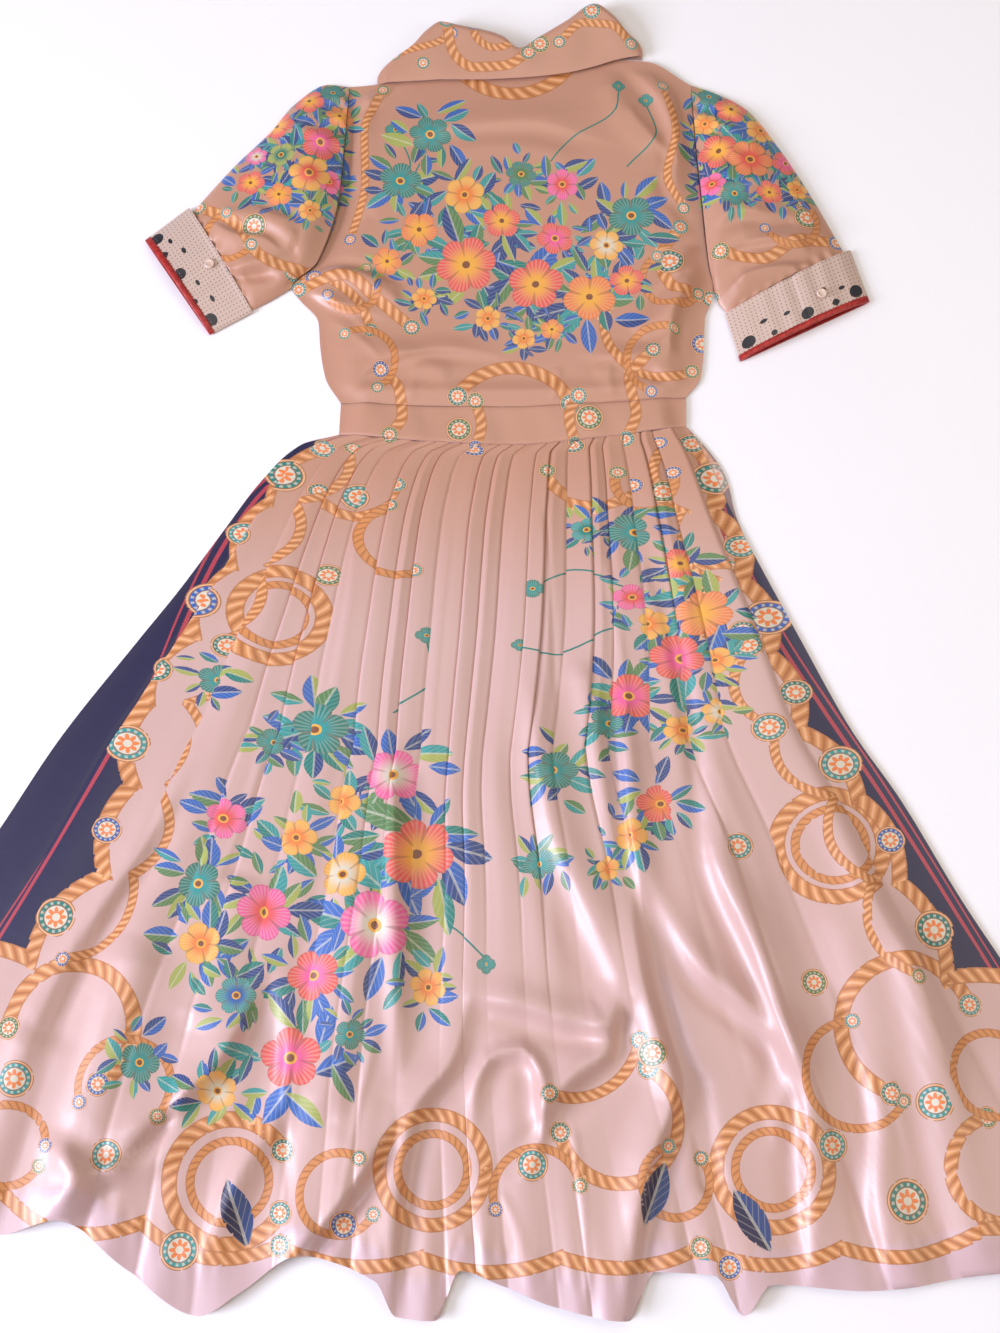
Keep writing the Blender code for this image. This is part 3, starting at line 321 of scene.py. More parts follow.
CORD_TINTS = (PALE_GOLD, CORD_EDGE)
THIN_CORD_TINTS = (GOLD, CORD_EDGE)

# Kinds of motif
PLAIN, ROPE, LINE, FLOWER, LEAF, ROSETTE, DOTS, DISC = range(8)


def smooth_at(table, place, column=1):
    """Values of one column of a table at places in its first column, by a smooth curve with no overshoot."""
    places = np.array([row[0] for row in table], dtype=float)
    values = np.array([row[column] for row in table], dtype=float)
    steps = np.diff(places)
    slopes = np.diff(values) / steps
    tangents = np.zeros(len(places))
    same_way = slopes[1:] * slopes[:-1] > 0
    sums = np.where(same_way, slopes[1:] + slopes[:-1], 1.0)
    tangents[1:-1] = np.where(same_way, 2 * slopes[1:] * slopes[:-1] / sums, 0.0)
    tangents[0] = slopes[0]
    tangents[-1] = slopes[-1]
    held = np.clip(np.asarray(place, dtype=float), places[0], places[-1])
    index = np.clip(np.searchsorted(places, held) - 1, 0, len(places) - 2)
    step = steps[index]
    part = (held - places[index]) / step
    start = values[index] * (1 + 2 * part) * (1 - part) ** 2
    start += tangents[index] * step * part * (1 - part) ** 2
    end = values[index + 1] * part**2 * (3 - 2 * part)
    end += tangents[index + 1] * step * part**2 * (part - 1)
    return start + end


def fold_heights(folds, x, y):
    """Sum of the soft ridges and troughs of a fold table at points x, y."""
    total = np.zeros(np.shape(x))
    for start_x, start_y, end_x, end_y, bow, half_width, height in folds:
        run_x = end_x - start_x
        run_y = end_y - start_y
        length = math.hypot(run_x, run_y)
        along = ((x - start_x) * run_x + (y - start_y) * run_y) / length**2
        across = ((y - start_y) * run_x - (x - start_x) * run_y) / length
        held = np.clip(along, 0.0, 1.0)
        rise = 4 * held * (1 - held)
        beyond = np.maximum(np.maximum(-along, along - 1.0), 0.0) * length / half_width
        offset = (across - bow * rise) / half_width
        fade = np.minimum(1.0, 0.25 + 2.2 * rise)
        total += height * fade * np.exp(-(offset**2) - beyond**2)
    return total


def curve_through(nodes, steps=40):
    """A smooth path through a few nodes."""
    nodes = np.array(nodes, dtype=float)
    lengths = np.concatenate([[0.0], np.cumsum(np.hypot(*np.diff(nodes, axis=0).T))])
    place = np.linspace(0.0, lengths[-1], steps)
    rows_x = tuple((float(length), float(node[0])) for length, node in zip(lengths, nodes))
    rows_y = tuple((float(length), float(node[1])) for length, node in zip(lengths, nodes))
    return np.column_stack([smooth_at(rows_x, place), smooth_at(rows_y, place)])


def nearest_on_path(path, x, y):
    """Signed distance from a path, positive on its left side, and length along it, for points x, y."""
    start = path[:-1]
    run = path[1:] - start
    length = np.hypot(run[:, 0], run[:, 1])
    begins = np.concatenate([[0.0], np.cumsum(length)[:-1]])
    best = np.full(np.shape(x), np.inf)
    offset = np.zeros(np.shape(x))
    along = np.zeros(np.shape(x))
    for index in range(len(run)):
        away_x = x - start[index, 0]
        away_y = y - start[index, 1]
        share = (away_x * run[index, 0] + away_y * run[index, 1]) / length[index] ** 2
        held = np.clip(share, 0.0, 1.0)
        distance = np.hypot(away_x - held * run[index, 0], away_y - held * run[index, 1])
        side = (away_y * run[index, 0] - away_x * run[index, 1]) / length[index]
        outside = ((index == 0) & (share < 0)) | ((index == len(run) - 1) & (share > 1))
        side = np.where(outside, side, np.sign(side) * distance)
        closer = distance < best
        best = np.where(closer, distance, best)
        offset = np.where(closer, side, offset)
        free = share
        if index > 0:
            free = np.maximum(free, 0.0)
        if index < len(run) - 1:
            free = np.minimum(free, 1.0)
        along = np.where(closer, begins[index] + free * length[index], along)
    return offset, along, begins[-1] + length[-1]


def long_folds(table, x, y):
    """Height of a table's long folds at points x, y."""
    total = np.zeros(np.shape(x))
    for *sizes, side, nodes in table:
        height, steep, slow = metres([sizes])[0]
        offset, along, length = nearest_on_path(curve_through(metres(nodes), 22), x, y)
        offset = side * offset
        share = np.clip(along / length, 0.0, 1.0)
        fade = np.minimum(1.0, 0.12 + 3.0 * share) * np.minimum(1.0, 0.30 + 3.0 * (1 - share))
        beyond = np.maximum(np.maximum(-along, along - length), 0.0) / slow
        width = np.where(offset < steep, steep, slow)
        ridge = np.exp(-(((offset - steep) / width) ** 2))
        trough = 0.35 * np.exp(-(((offset + 1.6 * steep) / (1.5 * steep)) ** 2))
        total = total + height * fade * (ridge - trough) * np.exp(-(beyond**2))
    return total


def above_zero(value, softness):
    """A soft floor at zero."""
    return 0.5 * (value + np.sqrt(value**2 + softness**2))


def eased(value):
    """0 to 1 with a soft start and end."""
    held = np.clip(value, 0.0, 1.0)
    return held * held * (3 - 2 * held)


def span(table, share):
    """Places from the first to the last one in a table's first column."""
    return table[0][0] + (table[-1][0] - table[0][0]) * share


def skirt_plan(across, down):
    """Plan points of the skirt. across runs from -1 at the left fold to 1 at the right, down from 0 to 1."""
    left_x = smooth_at(SKIRT_SIDES[-1], span(SKIRT_SIDES[-1][::-1], down))
    right_x = smooth_at(SKIRT_SIDES[1], span(SKIRT_SIDES[1][::-1], down))
    spreading = PLEAT_SPREAD * np.clip(down / 0.4, 0.0, 1.0) ** 1.3
    place = across + spreading * (across**3 - across)
    x = left_x + (right_x - left_x) * 0.5 * (place + 1.0)
    waist_y = smooth_at(WAIST_SEAM, span(WAIST_SEAM, 0.5 * (across + 1.0)))
    hem_y = smooth_at(HEM, span(HEM, 0.5 * (across + PLEAT_SPREAD * (across**3 - across) + 1.0)))
    trend_y = smooth_at(HEM_TREND, across)
    y = waist_y + (trend_y - waist_y) * down + (hem_y - trend_y) * down**8
    return x, y


def calm_share(x, y):
    """Share of the pleats' height that the large folds leave."""
    left = np.ones(np.shape(x))
    for place_x, place_y, reach_x, reach_y, share in CALM_PLACES:
        near = np.exp(-(((x - place_x) / reach_x) ** 2) - ((y - place_y) / reach_y) ** 2)
        left = left * (1 - (1 - share) * near)
    return left


def pleat_phase(across):
    """Pleats counted from the middle of the skirt, of uneven widths."""
    phase = np.abs(across) * PLEAT_COUNT / 2
    for side, shift, waves in PLEAT_SHIFTS:
        phase = phase + np.where(side * across > 0, shift * np.sin(2 * math.pi * waves * np.abs(across)), 0.0)
    return phase


def across_of(phase, side):
    """Distance from the middle of the skirt, 0 to 1, for counts of pleats on one side."""
    places = np.linspace(0.0, 1.0, 2001)
    return np.interp(phase, pleat_phase(side * places), places)


def tilt_height(across, down):
    """Height of the wide flats between pairs of pleats, soft at their edges."""
    total = np.zeros(np.shape(across))
    lower = eased((down - 0.24) / 0.34)
    for shift in (-0.010, -0.005, 0.0, 0.005, 0.010):
        high = np.interp(across + shift, [row[0] for row in UPPER_TILTS], [row[1] for row in UPPER_TILTS])
        low = np.interp(across + shift, [row[0] for row in LOWER_TILTS], [row[1] for row in LOWER_TILTS])
        total = total + 0.2 * (high * (1 - lower) + low * lower)
    return total * np.clip(0.25 + down / 0.12, 0.0, 1.0)


def pleat_height(across, down):
    """Height of the pleats: a slow rise and a short drop, turning to soft waves towards the hem."""
    phase = pleat_phase(across)
    index = np.minimum(np.floor(phase + 1e-9), PLEAT_COUNT / 2 - 1).astype(int)
    part = np.clip(phase - index, 0.0, 1.0)
    peak = np.where(across < 0, np.array(PEAKS[-1])[index], np.array(PEAKS[1])[index])
    step = np.minimum(part / peak, (1.0 - part) / (1.0 - peak))
    lean = 0.5 + 0.25 * (peak - 0.5)
    bent = np.where(part < lean, 0.5 * part / lean, 0.5 + 0.5 * (part - lean) / (1 - lean))
    wave = 0.5 - 0.5 * np.cos(2 * math.pi * bent)
    share = 0.8 * smooth_at(PLEAT_FORM, down, 2)
    uneven = 1.0 + 0.22 * np.sin(2.3 * index + 5.0 * down + np.where(across < 0, 0.0, 1.7))
    crease = CREASE_DEPTH * np.exp(-((np.minimum(part, 1 - part) / 0.05) ** 2))
    return uneven * smooth_at(PLEAT_FORM, down, 1) * (step * (1 - share) + wave * share) - crease


def skirt_lift(across, down, x, y):
    """Free height of the upper skirt layer above the under one."""
    edge = eased((1.0 - np.abs(across)) / 0.10)
    form = pleat_height(across, down) + tilt_height(across, down)
    free = smooth_at(SKIRT_LOFT, down) + form * calm_share(x, y)
    free = free + fold_heights(SKIRT_FOLDS, x, y) + fold_heights(SKIRT_CREASES, x, y)
    free = free + long_folds(LONG_FOLDS, x, y)
    pucker = 0.0007 * np.sin(x * 420.0) * np.exp(-(((down - 0.965) / 0.012) ** 2))
    free = free + pucker
    return above_zero(free * edge, 0.0006) - 0.0003 * (1 - edge), edge


def bodice_plan(across, up, top_table):
    """Plan points of a bodice panel. across runs from 0 to 1, up from 0 at the waist to 1 at the top."""
    left_x = smooth_at(BODICE_SIDES[-1], span(BODICE_SIDES[-1], up))
    right_x = smooth_at(BODICE_SIDES[1], span(BODICE_SIDES[1], up))
    x = left_x + (right_x - left_x) * across
    low_y = smooth_at(BODICE_SEAM, span(BODICE_SEAM, across))
    high_y = smooth_at(top_table, span(top_table, across))
    return x, low_y + (high_y - low_y) * up


def bodice_lift(across, up, x, y):
    """Free height of the back bodice above the front one."""
    edge = eased(np.minimum(across, 1 - across) / 0.09)
    top = np.clip((1.0 - up) / 0.16, 0.15, 1.0)
    waist = 0.45 + 0.55 * np.clip(up / 0.12, 0.0, 1.0)
    folds = fold_heights(BODICE_FOLDS, x, y) + fold_heights(BODICE_CREASES, x, y)
    folds = folds + long_folds(BODICE_LONG_FOLDS, x, y)
    free = BODICE_LOFT * top * waist + folds * np.clip((1.0 - up) / 0.05, 0.0, 1.0)
    return above_zero(free * edge, 0.0006) - 0.0003 * (1 - edge), edge


# Print
class Motif:
    """One printed motif in the plan: a spot with two radii and a turn, or a path with a half width."""

    def __init__(self, kind, tints, spot=None, radii=None, turn=0.0, count=5, path=None, half_width=0.0):
        self.kind = kind
        self.tints = tints
        self.spot = spot
        self.radii = radii
        self.turn = turn
        self.count = count
        self.path = path
        self.half_width = half_width


def arc(centre, radius, start, end, steps=48):
    """Points on a circle between two angles in degrees."""
    turn = np.radians(np.linspace(start, end, steps))
    return np.column_stack([centre[0] + radius * np.cos(turn), centre[1] + radius * np.sin(turn)])


def scallops(nodes, bulge, steps=16):
    """A path that bows out between each pair of nodes by a share of their distance."""
    points = []
    for first, second in zip(nodes[:-1], nodes[1:]):
        first = np.array(first)
        second = np.array(second)
        side = np.array([second[1] - first[1], first[0] - second[0]])
        for share in np.linspace(0.0, 1.0, steps, endpoint=False):
            rise = 4 * share * (1 - share)
            points.append(first + (second - first) * share + side * bulge * rise)
    points.append(np.array(nodes[-1]))
    return np.array(points)


def rope(motifs, path, half_width, tints=CORD_TINTS):
    """A twisted cord along a path, with a small rosette on each free end."""
    motifs.append(Motif(ROPE, tints, path=path, half_width=half_width))
    if math.hypot(*(path[0] - path[-1])) > half_width:
        for index, spot in enumerate((path[0], path[-1])):
            tint = (SEA, GREEN, TEAL, BLUE)[(len(motifs) + index) % 4]
            rosette(motifs, spot, 0.0030 + 1.1 * half_width, tint)


def line(motifs, path, half_width, tint):
    """A plain line along a path."""
    motifs.append(Motif(LINE, (tint, tint), path=path, half_width=half_width))


def cords(motifs, rows):
    """Cords along curves. Each row: half width, then the nodes, all in millimetres."""
    for half_width, *nodes in rows:
        rope(motifs, curve_through(metres(nodes)), half_width / 1000)


def rings(motifs, rows, tints=CORD_TINTS):
    """Cords bent round. Columns: x, y, radius in millimetres, start, end in degrees, half width."""
    for x, y, radius, start, end, half_width in rows:
        rope(motifs, arc((x / 1000, y / 1000), radius / 1000, start, end), half_width / 1000, tints)


def rosette(motifs, spot, radius, tint):
    """A round ornament of plain rings and petals."""
    motifs.append(Motif(ROSETTE, (tint, CREAM), spot=spot, radii=(radius, radius), count=8))


def rosettes(motifs, rows):
    """Rosettes. Columns: x, y and radius in millimetres, tint of the ring."""
    for *sizes, tint in rows:
        x, y, radius = metres([sizes])[0]
        rosette(motifs, (x, y), radius, tint)


def blooms(motifs, rows, seed, reach=1.95):
    """Flowers, each with leaves round it."""
    random = np.random.default_rng(seed)
    for row in rows:
        x, y, radius = metres([row[:3]])[0]
        for index in range(LEAVES_EACH):
            turn = 2 * math.pi * (index + random.uniform(-0.3, 0.3)) / LEAVES_EACH
            away = radius * random.uniform(0.95, reach)
            length = radius * random.uniform(0.45, 0.85)
            spot = (x + away * math.cos(turn), y + away * math.sin(turn))
            tint = LEAF_TINTS[int(random.integers(len(LEAF_TINTS)))]
            other = LEAF_TINTS[int(random.integers(len(LEAF_TINTS)))]
            lean = turn + random.uniform(-0.7, 0.7)
            radii = (length, length * random.uniform(0.32, 0.5))
            motifs.append(Motif(LEAF, (tint, other), spot=spot, radii=radii, turn=lean))
    for *sizes, rim, heart, petals in rows:
        x, y, radius = metres([sizes])[0]
        radii = (radius, radius * 0.94)
        turn = random.uniform(0.0, 6.28)
        motifs.append(Motif(FLOWER, (rim, heart), spot=(x, y), radii=radii, turn=turn, count=petals))


LEAVES_EACH = 11
LEAF_TINTS = (BLUE, DEEP_BLUE, TEAL, SEA, DEEP_BLUE, GREEN, BLUE, LIME)

# Flowers. Columns: x, y and radius in millimetres, rim tint, heart tint, petals
BODICE_BLOOMS = (
    (122, 252, 24, TEAL, SEA, 5), (-114, 292, 22, TEAL, SEA, 5), (10, 300, 16, TEAL, GREEN, 6),
    (-84, 346, 22, TEAL, SEA, 6), (52, 288, 18, PINK, CORAL, 6), (-48, 276, 22, YELLOW, ORANGE, 6),
    (96, 218, 18, YELLOW, CREAM, 6), (-10, 246, 20, CORAL, YELLOW, 5), (44, 226, 19, CORAL, PINK, 5),
    (-94, 236, 20, ORANGE, YELLOW, 5), (116, 178, 18, CORAL, YELLOW, 5), (-126, 200, 16, ORANGE, YELLOW, 6),
    (-46, 196, 32, CORAL, YELLOW, 6), (24, 174, 29, CORAL, YELLOW, 5), (78, 160, 27, ORANGE, YELLOW, 5),
    (-88, 158, 13, YELLOW, ORANGE, 6), (-24, 136, 14, YELLOW, ORANGE, 6), (12, 114, 12, YELLOW, ORANGE, 5),
    (40, 124, 12, ORANGE, YELLOW, 5),
)
LEFT_SLEEVE_BLOOMS = (
    (-186, 396, 13, TEAL, SEA, 5), (-210, 384, 16, CORAL, YELLOW, 5), (-178, 366, 14, ORANGE, YELLOW, 6),
    (-196, 330, 21, CORAL, PINK, 5), (-186, 286, 14, PINK, CORAL, 5), (-206, 292, 22, YELLOW, CORAL, 6),
    (-243, 356, 19, CORAL, YELLOW, 5), (-236, 316, 15, LIME, TEAL, 5), (-262, 318, 12, PINK, CREAM, 6),
    (-266, 284, 15, CORAL, YELLOW, 5), (-236, 268, 14, ORANGE, YELLOW, 5),
    (-204, 250, 12, YELLOW, ORANGE, 6),
)
RIGHT_SLEEVE_BLOOMS = (
    (206, 392, 13, TEAL, SEA, 5), (228, 374, 18, CORAL, YELLOW, 5), (200, 356, 14, YELLOW, ORANGE, 6),
    (212, 320, 21, CORAL, YELLOW, 5), (244, 310, 24, ORANGE, CORAL, 6), (258, 350, 17, YELLOW, ORANGE, 6),
    (282, 312, 16, CORAL, PINK, 5), (204, 282, 14, PINK, CORAL, 5), (226, 268, 15, TEAL, SEA, 5),
    (262, 272, 14, CORAL, YELLOW, 5), (292, 280, 12, YELLOW, ORANGE, 5),
)
LEFT_SKIRT_BLOOMS = (
    (-284, -240, 16, TEAL, SEA, 5), (-180, -288, 26, TEAL, SEA, 5), (-224, -300, 14, TEAL, SEA, 5),
    (-110, -332, 26, PINK, CREAM, 6), (-264, -372, 20, PINK, CORAL, 6), (-156, -356, 17, YELLOW, ORANGE, 5),
    (-196, -390, 18, YELLOW, ORANGE, 6), (-86, -404, 34, CORAL, YELLOW, 6),
    (-154, -424, 22, YELLOW, CREAM, 5), (-124, -470, 32, PINK, CREAM, 5), (-224, -458, 26, PINK, CORAL, 6),
    (-284, -432, 21, TEAL, SEA, 5), (-280, -486, 20, YELLOW, ORANGE, 5), (-178, -514, 24, CORAL, PINK, 5),
    (-76, -524, 17, YELLOW, ORANGE, 6), (-246, -532, 18, SEA, BLUE, 6), (-196, -586, 28, CORAL, PINK, 5),
    (-144, -566, 14, TEAL, SEA, 5), (-260, -614, 18, YELLOW, CREAM, 6), (-328, -590, 18, TEAL, SEA, 5),
)
RIGHT_SKIRT_BLOOMS = (
    (24, -414, 15, TEAL, SEA, 5), (40, -328, 20, TEAL, SEA, 6), (86, -418, 12, YELLOW, ORANGE, 5),
    (108, -388, 16, YELLOW, ORANGE, 5), (132, -358, 19, CORAL, ORANGE, 5), (88, -282, 16, TEAL, SEA, 5),
    (108, -256, 22, CORAL, PINK, 5), (156, -288, 15, YELLOW, ORANGE, 6), (190, -270, 14, YELLOW, CREAM, 6),
    (156, -218, 24, CORAL, PINK, 6), (196, -220, 14, YELLOW, ORANGE, 5), (132, -184, 17, YELLOW, ORANGE, 6),
    (182, -174, 26, ORANGE, YELLOW, 6), (112, -158, 14, PINK, CORAL, 5), (114, -92, 20, TEAL, SEA, 5),
    (160, -124, 16, CORAL, YELLOW, 5), (70, -90, 12, SEA, TEAL, 5),
)

# Borders of the navy side bands, from the waist down, where each scallop ends. Columns: x, y
BORDER_BULGE = 0.14
BORDERS = {
    -1: metres((
        (-186, -4), (-236, -60), (-268, -126), (-300, -196), (-338, -262), (-352, -340), (-372, -424),
        (-432, -500), (-560, -510),
    )),
    1: metres((
        (176, 2), (196, -70), (222, -140), (246, -214), (270, -288), (320, -352), (352, -430), (388, -516),
        (520, -560),
    )),
}
STRIPES = {
    -1: metres((
        (-179, 4), (-232, -36), (-270, -90), (-308, -168), (-346, -262), (-402, -372), (-472, -498),
    )),
    1: metres(((176, 10), (206, -92), (238, -170), (290, -268), (340, -350), (436, -520))),
}


# Cords of the bodice, the sleeves and the waistband, as rings and cords take them
BODICE_RINGS = (
    (2, 462, 66, 200, 345, 8), (0, 20, 62, 22, 150, 7), (150, 130, 58, 150, 300, 5),
    (-215, 110, 75, 10, 95, 5),
)
BODICE_CORDS = (
    (5.5, (-120, 10), (-108, 30), (-112, 60), (-130, 80)),
    (5.5, (112, 6), (122, 34), (116, 70), (140, 100)),
    (5.5, (-36, -4), (-30, 20), (-36, 46)),
    (5.5, (62, 0), (56, 30), (66, 52)),
    (6, (-320, 262), (-280, 238), (-250, 198), (-200, 184)),
    (6, (-215, 170), (-170, 182), (-130, 152), (-100, 126)),
    (6, (330, 222), (290, 218), (250, 196), (210, 206)),
    (6, (200, 160), (165, 168), (150, 200), (172, 240)),
    (4.2, (-134, 400), (-152, 350), (-150, 290), (-164, 226)),
    (4.2, (158, 404), (170, 350), (160, 300), (176, 262)),
)
BODICE_ROSETTES = (
    (-260, 232, 13, GREEN), (300, 246, 14, GREEN), (160, 200, 15, TEAL), (-52, 16, 13, GREEN),
    (76, 28, 14, GREEN), (190, 110, 12, BLUE),
)
SKIRT_RINGS = (
    (-224, -176, 44, 0, 360, 6.5), (-150, -36, 40, 200, 350, 5), (80, -20, 46, 190, 330, 5),
    (196, -160, 36, 60, 300, 6), (292, -396, 48, 0, 360, 7), (350, -560, 60, 20, 250, 7),
    (-390, -560, 56, -60, 180, 7), (-246, -690, 52, 30, 330, 7), (-70, -680, 46, 0, 360, 6),
    (92, -640, 52, 190, 420, 6), (224, -680, 48, 0, 360, 6.5), (52, -560, 60, 250, 350, 5),
    (420, -680, 44, 100, 400, 6), (-500, -640, 40, 0, 300, 6),
)
# Scalloped cords above the hem. Each row: bulge, then the nodes in millimetres
HEM_CORDS = (
    (0.16, (-560, -640), (-440, -700), (-320, -724), (-200, -742)),
    (0.10, (-200, -742), (-80, -752), (40, -752), (160, -744)),
    (0.12, (160, -744), (280, -744), (400, -728), (520, -676)),
)
THIN_RINGS = (
    (-224, -176, 30, 0, 360), (292, -396, 33, 0, 360), (-70, -680, 30, 0, 360), (224, -680, 32, 0, 360),
    (-246, -690, 34, 0, 360), (-340, -610, 40, -40, 200), (300, -600, 46, 90, 330), (420, -600, 36, 0, 300),
    (-150, -700, 34, 60, 330), (20, -700, 38, 10, 200), (140, -690, 30, 100, 400), (-440, -660, 34, 0, 330),
    (-110, -100, 36, 100, 300), (130, -40, 30, 160, 380), (-284, 224, 26, 100, 330), (282, 240, 28, 200, 420),
    (-150, 90, 34, 300, 480), (150, 90, 36, 70, 250), (162, 180, 30, 120, 330), (-160, 170, 26, 200, 420),
)
THIN_HALF_WIDTH = 3.8
SKIRT_ROSETTES = (
    (-276, -206, 12, TEAL), (-150, -56, 14, SEA), (-176, -136, 11, GREEN), (218, -206, 12, SEA),
    (146, -50, 12, GREEN), (236, -286, 14, SEA), (206, -398, 13, SEA), (-436, -604, 16, SEA),
    (-352, -668, 14, SEA), (-286, -746, 17, SEA), (-146, -726, 12, BLUE), (16, -676, 14, SEA),
    (122, -582, 13, GREEN), (276, -660, 14, SEA), (366, -624, 16, SEA), (338, -706, 19, TEAL),
    (184, -760, 11, BLUE), (268, -520, 12, GREEN), (462, -706, 15, SEA),
)
# Large dark leaves near the hem. Columns: x, y and half length in millimetres, turn in radians
DARK_LEAVES = ((-238, -716, 30, 1.9), (122, -700, 28, 1.2), (205, -722, 30, 2.1))
STEMS = (
    ((30, 300), (60, 340), (110, 380), (112, 402)), ((-118, 270), (-104, 310), (-120, 350)),
    ((-100, 300), (-82, 330), (-70, 322)), ((120, 310), (150, 350), (140, 384)),
    ((112, -150), (60, -130), (20, -150)), ((90, -190), (40, -215), (4, -206)),
    ((-110, -270), (-80, -236), (-84, -200)), ((-90, -460), (-60, -468), (-24, -500)),
)
# Columns, in millimetres: x, y, radius
BUDS = metres((
    (-120, 352, 11), (112, 404, 7), (140, 388, 8), (20, -150, 9), (4, -206, 6), (-84, -196, 8),
    (-24, -504, 9),
))


def all_motifs():
    """Every motif of the print, the lowest one first."""
    motifs = []
    for side in SIDES:
        path = curve_through(STRIPES[side])
        line(motifs, path, 0.0016, STRIPE_RED)
        line(motifs, path + np.array([side * 0.0075, 0.0]), 0.0008, STRIPE_RED)
    rings(motifs, BODICE_RINGS)
    cords(motifs, BODICE_CORDS)
    rosettes(motifs, BODICE_ROSETTES)
    rings(motifs, SKIRT_RINGS)
    for bulge, *nodes in HEM_CORDS:
        rope(motifs, scallops(metres(nodes), bulge), 0.0060)
    rings(motifs, [(*row, THIN_HALF_WIDTH) for row in THIN_RINGS], THIN_CORD_TINTS)
    for *sizes, turn in DARK_LEAVES:
        x, y, half = metres([sizes])[0]
        motifs.append(Motif(LEAF, (NAVY, DEEP_BLUE), spot=(x, y), radii=(half, half * 0.42), turn=turn))
    for side, border in BORDERS.items():
        inside = [(x - side * 0.030, y) for x, y in border[:-1]]
        rope(motifs, scallops(inside, 1.6 * BORDER_BULGE * side), 0.0040)
        rope(motifs, scallops(border, -BORDER_BULGE * side), 0.0070)
    rosettes(motifs, SKIRT_ROSETTES)
    for side, border in BORDERS.items():
        for index, (first, second) in enumerate(zip(border[:-1], border[1:])):
            x = 0.5 * (first[0] + second[0]) + side * 0.010
            y = 0.5 * (first[1] + second[1])
            rosette(motifs, (x, y), (0.018, 0.013)[index % 2], (TEAL, SEA, BLUE)[index % 3])
    for stem in STEMS:
        line(motifs, curve_through(metres(stem), 16), 0.0008, TEAL)
    for x, y, radius in BUDS:
        motifs.append(Motif(FLOWER, (TEAL, SEA), spot=(x, y), radii=(radius, radius), count=4))
    blooms(motifs, BODICE_BLOOMS, 3)
    blooms(motifs, LEFT_SLEEVE_BLOOMS, 5, 1.9)
    blooms(motifs, RIGHT_SLEEVE_BLOOMS, 8, 1.9)
    blooms(motifs, LEFT_SKIRT_BLOOMS, 13)
    blooms(motifs, RIGHT_SKIRT_BLOOMS, 21)
    return motifs


def collar_motifs():
    """Print of the collar leaf."""
    motifs = []
    cords(motifs, (
        (4, (-122, 438), (-104, 444), (-80, 450), (-62, 462)),
        (5.5, (-68, 476), (-62, 444), (-40, 424), (-6, 426), (18, 440)),
    ))
    rings(motifs, ((-16, 470, 24, 175, 330, 4.2),))
    cords(motifs, ((4.5, (50, 452), (76, 474), (104, 472), (126, 452)),))
    rosettes(motifs, ((30, 450, 11, GREEN), (84, 488, 11, SEA), (-92, 428, 8, TEAL)))
    return motifs


def cuff_motifs():
    """Print of a cuff, in its own plan: across by CUFF_PRINT_WIDTH, and down from its seam."""
    large = ((12, 43, 6.5), (36, 47, 3), (70, 44, 6), (98, 46, 3.5), (120, 43, 6.5))
    small = ((30, 30, 2.2), (52, 34, 2), (90, 28, 2.2), (108, 34, 2))
    motifs = []
    for rows, stretch in ((large, 1.0), (small, 1.6)):
        for x, y, radius in metres(rows):
            motifs.append(Motif(DISC, (BLACK, BLACK), spot=(x, y), radii=(radius * stretch, radius)))
    return motifs


class Layer:
    """The motif that each cell shows: its place in it, its kind and count, and its tints."""

    def __init__(self, count):
        self.place = np.zeros((count, 4, 3))
        self.facts = np.zeros((count, 3))
        self.tint_a = np.zeros((count, 3))
        self.tint_b = np.zeros((count, 3))

    def take(self, other, cells):
        self.place[cells] = other.place[cells]
        self.facts[cells] = other.facts[cells]
        self.tint_a[cells] = other.tint_a[cells]
        self.tint_b[cells] = other.tint_b[cells]


